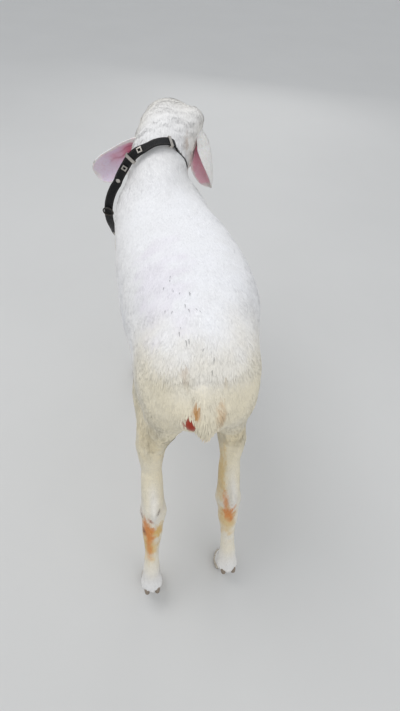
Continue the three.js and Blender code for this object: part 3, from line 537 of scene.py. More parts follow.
@dataclass(frozen=True)
class Markings:
    """Colours of the coat and of the bare skin, the same for skin and locks."""

    marks: Landmarks
    white: str = "f3f3f6"
    cream: str = "f1e6ca"
    warm: str = "f1eadb"
    flesh: str = "cbaaa2"
    nostril: str = "5b3c38"
    orange: str = "e08a3c"
    straw: str = "e3bf74"
    brown: str = "7c3a1c"
    raw: str = "a83a26"

    def spots(self) -> list[Spot]:
        """Places the stains and tints of the coat, and patches of painted shade and painted bounce light.

        Returns:
            The spots, in the row frame.
        """
        tail = self.marks.tail_tip
        left, right = self.marks.hocks[Side.LEFT], self.marks.hocks[Side.RIGHT]

        def by(hock: Array, aside: float, ahead: float, height: float) -> Array:
            """A place beside a hock, at a height above the floor."""
            return np.array([hock[0] + aside, hock[1] + ahead, height])

        return [
            # Lilac grey over the left half of the back: painted shade of the animal's left side.
            Spot((-0.060, -0.16, 0.69), (0.085, 0.17, 0.06), "ece6ee", 0.6),
            Spot(by(left, -0.012, -0.055, 0.185), (0.030, 0.060, 0.078), self.straw, 0.85, 0.35),
            Spot(by(left, -0.013, -0.055, 0.224), (0.017, 0.045, 0.044), self.orange, 0.95),
            Spot(by(left, -0.013, -0.065, 0.172), (0.009, 0.045, 0.046), self.orange, 0.80, 0.3),
            Spot(by(left, -0.026, -0.040, 0.249), (0.0065, 0.03, 0.009), self.brown, 0.95),
            Spot(by(left, -0.0215, -0.050, 0.211), (0.0065, 0.03, 0.009), self.brown, 0.9),
            Spot(by(left, -0.006, -0.055, 0.258), (0.0065, 0.03, 0.007), "a04a24", 0.85),
            Spot(by(left, 0.009, -0.050, 0.2755), (0.0055, 0.03, 0.0055), "54301f", 0.95, 0.3),
            Spot(by(left, 0.010, -0.055, 0.222), (0.014, 0.045, 0.030), "e0b65e", 0.85),
            Spot(by(right, -0.008, -0.05, 0.205), (0.028, 0.06, 0.070), self.straw, 0.75, 0.35),
            Spot(by(right, -0.020, -0.005, 0.325), (0.013, 0.060, 0.125), self.straw, 0.70, 0.35),
            Spot(by(right, -0.004, -0.055, 0.235), (0.017, 0.045, 0.032), self.orange, 0.95, 0.5),
            Spot(by(right, -0.012, -0.035, 0.262), (0.007, 0.04, 0.030), self.orange, 0.8),
            Spot(tail + (-0.012, 0.027, 0.050), (0.007, 0.022, 0.021), "cf9148", 0.95),
            Spot(tail + (0.025, 0.037, 0.031), (0.012, 0.03, 0.026), "c49a68", 0.6, 0.5),
            Spot(tail + (0.0, 0.010, 0.002), (0.014, 0.022, 0.014), "e6b27a", 0.5, 0.5),
            # Warm cream on the hind thighs and gaskins: painted bounce light, lifting the shade under the
            # rump.
            Spot((left[0] - 0.005, -0.33, 0.44), (0.055, 0.10, 0.080), "f6e2b2", 0.5, 0.3),
            Spot((right[0] + 0.005, -0.32, 0.44), (0.055, 0.10, 0.080), "f6e2b2", 0.5, 0.3),
            Spot((-0.023, -0.352, 0.668), (0.007, 0.018, 0.02), "b89c80", 0.4, 0.6),
            # Brownish cream streaks on each side of the dock: painted shadow of its creases.
            Spot(tail + (-0.023, 0.040, 0.082), (0.006, 0.030, 0.024), "c9b894", 0.5),
            Spot(tail + (0.036, 0.046, 0.080), (0.006, 0.030, 0.024), "c4b08c", 0.55),
            Spot((0.052, 0.238, 0.742), (0.016, 0.022, 0.016), "b49a84", 0.55, 0.7),
        ]

    def coat(self, points: Array) -> Array:
        """Colour of the hair at places on the body.

        Args:
            points: Places in the row frame.

        Returns:
            Linear red, green and blue, one row each.
        """
        x, y, z = points.T
        broad = lattice_noise(points, 0.09, 3)
        fine = lattice_noise(points, 0.022, 4)
        rear = np.maximum(ramp(y, -0.17, -0.36), ramp(y, -0.10, -0.20) * ramp(z, 0.57, 0.47))
        rump = ramp(z + 0.016 * broad + 0.014 * fine, 0.735, 0.612) * (0.15 + 0.85 * rear)
        flank = 0.45 * ramp(z + 0.03 * broad, 0.58, 0.46)
        shin = ramp(z, 0.30, 0.24) * ramp(z, 0.12, 0.17)
        foot = ramp(z, 0.16, 0.08)
        amount = np.maximum(rump * 0.95, flank) * (1.0 - 0.35 * shin) * (1.0 - 0.75 * foot)
        amount = np.clip(amount + 0.07 * (broad + fine) * ramp(z, 0.66, 0.55), 0.0, 1.0)
        colour = tint(self.white) + (tint(self.cream) - tint(self.white)) * amount[:, None]
        front = self.marks.on_head(points)[:, 1]
        warm = 0.4 * ramp(front, -60.0, 10.0) + 0.25 * ramp(y, 0.05, 0.2)
        colour += (tint(self.warm) - colour) * np.clip(warm, 0.0, 0.7)[:, None]
        for side in Side:
            hock = self.marks.hocks[side]
            stripe = bell(x - hock[0] - 0.002, 0.011)
            stripe = 0.7 * (stripe * ramp(z, 0.40, 0.34) * ramp(z, 0.23, 0.27) * (y < -0.2))
            stripe = stripe * (1.0 - ramp(y, hock[1] - 0.03, hock[1] + 0.01))
            colour += (tint("efece8") - colour) * stripe[:, None]
        for number, spot in enumerate(self.spots()):
            colour += (tint(spot.colour) - colour) * spot.amount(points, 20 + number)[:, None]
        return colour * (1.0 + 0.025 * fine + 0.015 * broad)[:, None]

    def bare(self, points: Array) -> Array:
        """How bare the skin is, from 0 under hair to 1 on the nose, lids and groin.

        Args:
            points: Places in the row frame.

        Returns:
            One number for each place.
        """
        local = self.marks.on_head(points)
        nose = norm((local - [0.0, 231.0, -42.0]) / [21.0, 17.0, 17.0], axis=1)
        lips = np.abs(local[:, 2] + 63.0) / 4.5 + ramp(local[:, 1], 210.0, 170.0) * 1.2
        lips = 0.5 * ramp(lips, 1.2, 0.3) * (np.abs(local[:, 0]) < 60)
        bare = np.maximum(0.9 * ramp(nose, 1.1, 0.6), lips)
        ring = ramp(self.nostril_gap(points), 7.5, 4.0) * ramp(local[:, 1], 200.0, 206.0)
        bare = np.maximum(bare, ring * (local[:, 2] < 0.0))
        for side in Side:
            reach = norm(points - self.marks.eyes[side], axis=1) / self.marks.eye_radius
            bare = np.maximum(bare, 0.6 * ramp(reach, 1.22, 1.08))
        groin = self.marks.tail_tip + np.array([-0.019, 0.034, 0.018])
        reach = norm((points - groin) / [0.019, 0.032, 0.023], axis=1)
        return np.maximum(bare, ramp(reach, 1.0, 0.45))

    def nostril_gap(self, points: Array) -> Array:
        """Distance of each place from the nearer nostril, in millimetres."""
        return Skin.slit(np.abs(self.marks.on_head(points)) * [1.0, 1.0, -1.0])

    def skin(self, points: Array) -> Array:
        """Colour of the skin with the short hair on it.

        Args:
            points: Places in the row frame.

        Returns:
            Linear red, green and blue, one row each.
        """
        colour = self.coat(points)
        bare = self.bare(points)[:, None]
        low = (points[:, 1] < -0.2)[:, None]
        flesh = np.where(low, tint(self.raw), tint(self.flesh))
        inside = ramp(self.nostril_gap(points), 3.2, 1.8)[:, None]
        flesh = flesh + (tint(self.nostril) - flesh) * inside
        mottle = 1.0 + 0.12 * lattice_noise(points, 0.006, 9)
        return colour + (flesh * mottle[:, None] - colour) * bare


# ---- skin


@dataclass
class Skin:
    """One unbroken skin over every length of flesh, inside the coat by the hair's depth."""

    marks: Landmarks
    markings: Markings
    nodes: dict[str, Piece]
    voxel: float = 0.0046
    overlap: float = 0.0006
    points: Array = field(init=False)
    normals: Array = field(init=False)
    triangles: Array = field(init=False)
    tree: BVHTree = field(init=False)
    labels: list[int] = field(init=False)
    piece: Piece = field(init=False)

    # One number for each Region in turn; the depth is in millimetres.
    DEPTH = (1.9, 2.6, 1.3, 7.0, 2.2, 2.0, 1.2, 1.1)
    SOFTNESS = (1.0, 1.0, 0.3, 0.4, 0.9, 0.8, 0.45, 0.3)
    EAR_ROOTS = {Side.LEFT: ((-43.0, 3.0, -44.0), 0.016), Side.RIGHT: ((46.0, 5.0, -12.0), 0.017)}

    @staticmethod
    def flesh() -> dict[str, Region]:
        """The CAD nodes of flesh.

        Returns:
            The kind of coat that each wears, by name.
        """
        nodes = {"trunk": Region.TRUNK, "neck": Region.NECK, "head": Region.HEAD, "tail": Region.TAIL}
        paired = {"thigh": Region.THIGH, "upper_arm": Region.ARM}
        for part in ("hind_gaskin", "hind_cannon", "fore_forearm", "fore_cannon"):
            paired[part] = Region.SHANK
        paired |= {"hind_pastern": Region.FOOT, "fore_pastern": Region.FOOT}
        return nodes | {f"{part}_{side.label}": paired[part] for side in Side for part in paired}

    def build(self) -> None:
        """Makes the skin from the CAD nodes."""
        bare, places, faces, self.labels = [], [], [], []
        for name, region in self.flesh().items():
            points, polygons, normals = merged_points(self.nodes[name])
            start = sum(map(len, places))
            bare.append(points)
            places.append(points + normals * self.overlap)
            faces += [[k + start for k in polygon] for polygon in polygons]
            self.labels += [region.value] * len(polygons)
        self.tree = BVHTree.FromPolygons(np.concatenate(bare).tolist(), faces)
        for centre, radius in self.fillings():
            ball, polygons = self.ball(centre, radius)
            start = sum(map(len, places))
            places.append(ball)
            faces += [[k + start for k in polygon] for polygon in polygons]
        self.piece = remeshed("skin", np.concatenate(places), faces, self.voxel)
        self.drop_crumbs()
        self.ease()
        self.refine()
        self.model_face()
        self.model_body()
        self.settle_normals()

    def fillings(self) -> list[tuple[Array, float]]:
        """Balls that fill the sockets of eyes and ears.

        Returns:
            Their centres and radii.
        """
        eyes = [(centre, 0.82 * self.marks.eye_radius) for centre in self.marks.eyes.values()]
        ears = [(self.marks.from_head(root), radius) for root, radius in self.EAR_ROOTS.values()]
        return eyes + ears

    @staticmethod
    def ball(centre: Array, radius: float) -> tuple[Array, list[list[int]]]:
        """Points and faces of a faceted ball.

        Args:
            centre: Its middle.
            radius: Its radius in metres.

        Returns:
            Points and faces.
        """
        work = bmesh.new()
        bmesh.ops.create_icosphere(work, subdivisions=2, radius=radius)
        points = np.array([v.co[:] for v in work.verts]) + centre
        faces = [[v.index for v in f.verts] for f in work.faces]
        work.free()
        return points, faces

    def drop_crumbs(self) -> None:
        """Removes loose shells, keeping the largest."""
        with opened(self.piece.data) as work:
            seen = np.zeros(len(work.verts), bool)
            shells: list[list[bmesh.types.BMVert]] = []
            for start in work.verts:
                if seen[start.index]:
                    continue
                shell = [start]
                seen[start.index] = True
                for vertex in shell:
                    for edge in vertex.link_edges:
                        other = edge.other_vert(vertex)
                        if not seen[other.index]:
                            seen[other.index] = True
                            shell.append(other)
                shells.append(shell)
            shells.sort(key=len)
            bmesh.ops.delete(work, geom=sum(shells[:-1], []), context="VERTS")

    def region_shares(self, passes: int, share: float) -> Array:
        """How much each vertex belongs to each region.

        Args:
            passes: How many times the regions are averaged over their borders.
            share: How far they go each time.

        Returns:
            One row for each vertex, one column for each region.
        """
        mesh = self.piece.data
        nearest = [self.labels[self.tree.find_nearest(p)[2]] for p in point_array(mesh).tolist()]
        return spread(np.eye(len(Region))[nearest], edge_array(mesh), passes, share)

    def ease(self) -> None:
        """Smooths the facets away and draws the skin in by the coat's depth."""
        mesh = self.piece.data
        points, edges = point_array(mesh), edge_array(mesh)
        shares = self.region_shares(14, 0.6)
        soft = shares @ np.array(self.SOFTNESS)
        depth = shares @ np.array(self.DEPTH) * MM
        for _ in range(16):
            points = spread(points, edges, 1, 0.62 * soft)
            points = spread(points, edges, 1, -0.60 * soft)
        points = spread(points, edges, 14, 0.5 * ramp(soft, 0.75, 1.0))
        put_points(mesh, points)
        points = points - normal_array(mesh) * depth[:, None]
        points = spread(points, edges, 2, 0.4 * soft)
        put_points(mesh, points)

    def refine(self) -> None:
        """Divides the faces of the head, and again those of the muzzle and round the eyes."""
        for level in range(2):
            mesh = self.piece.data
            with opened(mesh) as work:
                places = np.array([v.co[:] for v in work.verts])
                inside = self.marks.in_head(places, -8.0)
                if level:
                    near = [norm(places - eye, axis=1) for eye in self.marks.eyes.values()]
                    muzzle = self.marks.on_head(places)[:, 1] > 186.0
                    inside &= (np.min(near, axis=0) < 0.025) | muzzle
                chosen = [e for e in work.edges if inside[e.verts[0].index] and inside[e.verts[1].index]]
                bmesh.ops.subdivide_edges(work, edges=chosen, cuts=1, use_grid_fill=True)
            points, edges = point_array(mesh), edge_array(mesh)
            share = 0.5 * self.marks.in_head(points, -4.0)
            put_points(mesh, spread(spread(points, edges, 2, share), edges, 1, -share))

    def model_face(self) -> None:
        """Shapes lids, nostrils, lips, brows and cheeks."""
        mesh = self.piece.data
        points = point_array(mesh)
        normals = normal_array(mesh)
        local = self.marks.on_head(points)
        face = self.marks.in_head(points, -10.0)
        rise = np.zeros(len(points))
        x, y, z = np.abs(local[:, 0]), local[:, 1], local[:, 2]

        def hump(at: tuple, radii: tuple, height: float) -> None:
            """Adds a rounded rise or hollow on both sides of the head; millimetres."""
            reach = norm((np.stack([x, y, z], axis=1) - at) / radii, axis=1)
            rise[:] += height * ramp(reach, 1.0, 0.0)

        hump((47.0, 106.0, -10.0), (10.0, 14.0, 10.0), -3.0)
        hump((46.0, 104.0, -30.0), (8.0, 36.0, 7.0), 1.8)
        hump((40.0, 70.0, 26.0), (12.0, 26.0, 10.0), 2.2)
        hump((0.0, 88.0, 30.0), (16.0, 40.0, 16.0), -1.6)
        hump((0.0, 150.0, 16.0), (14.0, 40.0, 14.0), 1.6)
        hump((30.0, 150.0, -64.0), (18.0, 30.0, 9.0), -1.6)
        hump((26.0, 208.0, -40.0), (9.0, 12.0, 12.0), 2.2)
        hump((20.0, 205.0, -58.0), (14.0, 22.0, 8.0), 1.6)
        lip = -63.0 + 0.055 * (226.0 - y)
        ahead = ramp(y, 158.0, 172.0)
        rise -= 2.6 * bell(z - lip, 1.7) * ahead
        rise += 1.0 * bell(z - lip - 5.0, 3.0) * ahead
        rise += 0.8 * bell(z - lip + 5.5, 3.0) * ahead
        groove = 1.8 * bell(x, 1.5) * ramp(y, 212.0, 220.0) * ramp(z, lip, lip + 3.0)
        rise -= groove * ramp(z, -24.0, -32.0)
        nostril = self.slit(np.stack([x, y, z], axis=1))
        front = ramp(y, 205.0, 214.0)
        rise -= 7.0 * ramp(nostril, 4.0, 1.6) * front
        rise += 1.5 * ramp(nostril, 8.5, 5.0) * (1.0 - ramp(nostril, 4.6, 3.4)) * front
        points[face] += normals[face] * rise[face, None] * MM
        for side in Side:
            points = self.lids(points, side)
        put_points(mesh, points)

    @staticmethod
    def slit(local: Array) -> Array:
        """Distance in millimetres from the curved slit of a nostril.

        Args:
            local: Places in the head's frame with the side folded to positive.

        Returns:
            One distance for each place.
        """
        path = np.array([[8.0, 229, -51], [11, 228, -43], [17, 224, -35], [24, 216, -30]])
        best = np.full(len(local), 1e3)
        for start, end in zip(path[:-1], path[1:]):
            along = end - start
            t = np.clip((local - start) @ along / (along @ along), 0.0, 1.0)
            gap = (local - start - t[:, None] * along) * [1.0, 0.4, 1.0]
            best = np.minimum(best, norm(gap, axis=1))
        return best

    def lids(self, points: Array, side: Side) -> Array:
        """Opens an almond slit over one eye and raises the lids round it.

        Args:
            points: Places of the skin's vertices.
            side: Which eye.

        Returns:
            The changed places.
        """
        radius = self.marks.eye_radius
        axes = eye_axes(self.marks, side)
        local = (points - self.marks.eyes[side]) @ axes / radius
        a, b, out = local.T
        half_height = np.where(b > 0, 0.50, 0.42) * (1.0 + 0.10 * a)
        reach = np.hypot(a / 0.90, b / half_height)
        near = (out > 0.0) & (np.hypot(a, b) < 2.0)
        edge = near & (np.abs(reach - 1.0) < 0.16)
        pull = np.where(reach < 1.0, 0.97, 1.05) / np.maximum(reach, 1e-6)
        scale = np.where(edge, pull, 1.0)
        a, b = a * scale, b * scale
        reach = reach * scale
        ball = np.sqrt(np.maximum(1.0 - a * a - b * b, 0.0))
        opened = near & (reach < 1.0)
        out = np.where(opened, np.minimum(out, ball - 0.22), out)
        lid = near & ~opened
        margin = ball + 0.10 + 0.05 * bell(reach - 1.25, 0.2)
        cover = ramp(reach, 2.3, 1.2)
        out = np.where(lid, np.maximum(out, margin * cover + out * (1.0 - cover)), out)
        crease = 0.10 * bell(reach - 1.75, 0.14) * (b > -0.1)
        out = np.where(lid, out - crease, out)
        moved = np.stack([a, b, out], axis=1) * radius @ axes.T + self.marks.eyes[side]
        return np.where(near[:, None], moved, points)

    def model_body(self) -> None:
        """Adds the tendons of the legs, the hips, waves of wool on the nape and a slight unevenness."""
        mesh = self.piece.data
        points, normals = point_array(mesh), normal_array(mesh)
        _, y, z = points.T
        ahead = self.marks.on_head(points)[:, 1]
        rise = 0.5 * lattice_noise(points, 0.035, 5) + 0.7 * lattice_noise(points, 0.08, 6)
        rise *= ramp(z, 0.30, 0.42) * ramp(ahead, 0.0, -30.0)
        wool = ramp(ahead, -90.0, -45.0) * ramp(ahead, 75.0, 30.0) * ramp(z, 0.66, 0.72)
        rise += 1.7 * wool * lattice_noise(points * [0.4, 1.1, 1.1], 0.012, 7)
        haunch = ramp(y, -0.10, -0.24) * ramp(z, 0.66, 0.58) * ramp(z, 0.36, 0.42)
        rise += 0.55 * haunch * lattice_noise(points * [1.0, 1.0, 0.8], 0.009, 8)
        for side in Side:
            hip = np.array([0.005 + side.value * 0.066, -0.235, 0.675])
            rise += 3.0 * ramp(norm((points - hip) / [0.032, 0.04, 0.035], axis=1), 1.0, 0.0)
            hock = self.marks.hocks[side]
            leg = norm((points[:, :2] - hock[:2]) / [0.05, 0.09], axis=1) < 1.0
            sinew = bell(y - self.rear_line(points, hock) - 0.012, 0.006)
            rise -= 1.3 * leg * sinew * ramp(z, 0.07, 0.10) * ramp(z, 0.24, 0.20)
        put_points(mesh, points + normals * rise[:, None] * MM)

    @staticmethod
    def rear_line(points: Array, hock: Array) -> Array:
        """Place along Y of the back of a hind cannon at each point's height."""
        return hock[1] - 0.055 - 0.30 * (hock[2] - points[:, 2])

    def settle_normals(self) -> None:
        """Keeps the arrays that coat and colours are made from, and paints the skin."""
        mesh = self.piece.data
        mesh.shade_smooth()
        mesh.update()
        mesh.calc_loop_triangles()
        self.points, self.normals = point_array(mesh), normal_array(mesh)
        self.triangles = number_rows(mesh.loop_triangles, "vertices", 3, np.int32)
        paint(mesh, self.markings.skin(self.points))


def eye_axes(marks: Landmarks, side: Side) -> Array:
    """Axes of one eye as columns: along the slit towards the nose, up, and outward.

    Args:
        marks: The animal's landmarks.
        side: Which eye.

    Returns:
        A 3 by 3 matrix.
    """
    out = marks.head_way((side.value * 0.93, 0.34, 0.12))
    slit = marks.head_way((0.0, 0.95, -0.30))
    slit = unit(slit - out * (slit @ out))
    up = np.cross(out, slit) * side.value
    return np.stack([slit, up if up[2] > 0 else -up, out], axis=1)


# ---- coat


@dataclass(frozen=True)
class Lock:
    """Size and set of one kind of lock, in millimetres; jitter in radians, density per square metre.

    The parting shade share is the share of locks painted dark over a parting of the coat: a painted
    shadow of the parting.
    """

    length: float
    width: float
    lift: float
    density: float
    jitter: float
    curl: float = 0.0
    parted: float = 0.0


LENGTH, WIDTH, LIFT, DENSITY, JITTER, CURL, PARTING_SHADE_SHARE = range(7)


@dataclass
class Surface:
    """A skin ready to be covered: what each vertex says about the locks that grow on it."""

    points: Array
    normals: Array
    triangles: Array
    lie: Array
    style: Array
    colour: Array
    keep: Array


@dataclass
class Coat:
    """Locks of hair as closed tapering blades that overlap along the lie of the coat."""

    seed: int = 17
    root_shade: float = 0.95
    tip_shade: float = 1.02
    parting_shade: float = 0.55
    lean: float = 0.10
    crown: float = 0.22
    patch: float = 0.003

    def roots(self, surface: Surface, rng: np.random.Generator) -> dict[str, Array]:
        """Scatters roots over a surface.

        Args:
            surface: What to cover.
            rng: Seeded random numbers.

        Returns:
            Arrays of places, normals, lie, style and colour, one row for each root.
        """
        corners = surface.triangles
        a, b, c = (surface.points[corners[:, k]] for k in range(3))
        area = 0.5 * norm(np.cross(b - a, c - a), axis=1)
        density = (surface.style[corners, DENSITY] * surface.keep[corners]).mean(axis=1)
        wanted = area * density
        count = np.floor(wanted + rng.random(len(wanted))).astype(int)
        chosen = np.repeat(np.arange(len(corners)), count)
        first, second = rng.random((2, len(chosen)))
        flip = first + second > 1.0
        first, second = np.where(flip, 1 - first, first), np.where(flip, 1 - second, second)
        weight = np.stack([1.0 - first - second, first, second], axis=1)[:, :, None]

        def mix(values: Array) -> Array:
            """Values at the roots from values at the vertices."""
            return (values[corners[chosen]] * weight).sum(axis=1)

        roots = {key: mix(getattr(surface, key)) for key in ("points", "lie", "style", "colour")}
        return roots | {"normals": unit(mix(surface.normals))}

    def grow(self, name: str, roots: dict[str, Array], rings: int, chart: Array) -> Piece:
        """Makes the locks of one piece.

        Args:
            name: Name of the piece.
            roots: Arrays from the roots method, for this piece only.
            rings: Cross-sections of each lock before its tip.
            chart: Place of each root on the unwrap, between 0 and 1.

        Returns:
            The piece.
        """
        count = len(roots["points"])
        rng = np.random.default_rng(self.seed + count)
        normal = roots["normals"]
        length, width, lift, _, jitter, curl, parted = roots["style"].T
        way = unit(roots["lie"] - normal * (roots["lie"] * normal).sum(axis=1, keepdims=True))
        cross = np.cross(normal, way)
        broad, fine = lattice_noise(roots["points"], 0.035, 31), lattice_noise(roots["points"], 0.012, 32)
        angle = jitter * (rng.normal(size=count) + 1.6 * broad + 1.2 * fine)
        way, cross = (
            way * np.cos(angle)[:, None] + cross * np.sin(angle)[:, None],
            cross * np.cos(angle)[:, None] - way * np.sin(angle)[:, None],
        )
        size = rng.uniform(0.72, 1.28, count)
        length, lift = length * size * MM, lift * size * MM
        width = width * rng.uniform(0.7, 1.3, count) * MM
        # Locks over a parting are narrower, stand higher and are painted dark: painted shadow of the
        # parting; other locks get a small random tone.
        dark = rng.random(count) < parted
        width, lift = np.where(dark, 0.55 * width, width), np.where(dark, lift + 0.5 * MM, lift)
        bend = curl * rng.normal(size=count) * length
        rise = lift * rng.uniform(0.6, 1.4, count)
        corners = 3 * rings + 1
        points, facing = np.zeros((2, count, corners, 3))
        lean, tip_up = self.lean * rng.normal(size=(2, count))
        shade = np.zeros((count, corners))
        local = np.zeros((count, corners, 2))
        for ring in range(rings + 1):
            t = ring / rings
            middle = roots["points"] + way * ((t - 0.12) * length)[:, None]
            middle = middle + cross * (bend * math.sin(3.0 * t) * t)[:, None]
            arch = math.sin(0.84 * math.pi * t) - 0.25 * (t == 0)
            middle = middle + normal * (rise * arch - 0.22 * MM)[:, None]
            set_back = normal + cross * lean[:, None] + way * (tip_up + 0.10 * (t - 0.4))[:, None]
            if ring == rings:
                points[:, -1] = middle
                facing[:, -1] = set_back
                shade[:, -1] = self.tip_shade
                local[:, -1] = (0.0, 0.5)
                continue
            half = 0.5 * width * (0.75, 1.0, 0.7)[ring]
            deep = 0.12 * half
            for k, (aside, above) in enumerate(((-1.0, -0.4), (1.0, -0.4), (0.0, 1.0))):
                at = 3 * ring + k
                points[:, at] = middle + cross * (aside * half)[:, None]
                points[:, at] += normal * (above * deep)[:, None]
                facing[:, at] = set_back + cross * self.crown * aside
                shade[:, at] = self.root_shade + (self.tip_shade - self.root_shade) * t
                local[:, at] = (0.5 * aside, t - 0.5)
        tone_and_parting_shade = np.where(dark, self.parting_shade, 1.0 + 0.03 * rng.normal(size=count))
        colour = roots["colour"][:, None, :] * (shade * tone_and_parting_shade[:, None])[:, :, None]
        faces = (self.pattern(rings)[None] + (np.arange(count) * corners)[:, None, None]).reshape(-1, 3)
        uv = chart[:, None, :] * 0.96 + 0.02 + local * self.patch
        lane = np.broadcast_to(rng.random(count)[:, None, None], (count, corners, 1))
        strand = np.concatenate([local, lane], axis=2)
        colour = np.clip(colour, 0, 1).reshape(-1, 3)
        solid = Solid(points.reshape(-1, 3), faces, colour, uv.reshape(-1, 2))
        solid.facing = unit(facing.reshape(-1, 3))
        solid.extra["strand"] = strand.reshape(-1, 3)
        return solid.to_object(name)

    @staticmethod
    def pattern(rings: int) -> Array:
        """Triangles of one closed lock with its outward side out.

        Args:
            rings: Cross-sections before the tip.

        Returns:
            Rows of three point numbers.
        """
        faces = [(0, 2, 1)]
        for ring in range(rings - 1):
            for k in range(3):
                a, b = 3 * ring + k, 3 * ring + (k + 1) % 3
                faces += [(a, b, b + 3), (a, b + 3, a + 3)]
        last, tip = 3 * (rings - 1), 3 * rings
        faces += [(last + k, last + (k + 1) % 3, tip) for k in range(3)]
        return np.array(faces)

    @staticmethod
    def unwrap(points: Array, axis: Array) -> Array:
        """Rolls places round a bent centre line out flat.

        Args:
            points: Places on the skin.
            axis: Direction that the length of flesh runs in.

        Returns:
            Turn and length of each place, both between 0 and 1.
        """
        axis = unit(axis)
        side = unit(np.cross(axis, [0.31, 0.17, 0.93]))
        up = np.cross(side, axis)
        along, across, above = points @ axis, points @ side, points @ up
        span = (along - along.min()) / max(np.ptp(along), 1e-9)
        across = across - np.polyval(np.polyfit(span, across, 3), span)
        above = above - np.polyval(np.polyfit(span, above, 3), span)
        return np.stack([np.arctan2(across, above) / (2 * math.pi) + 0.5, span], axis=1)


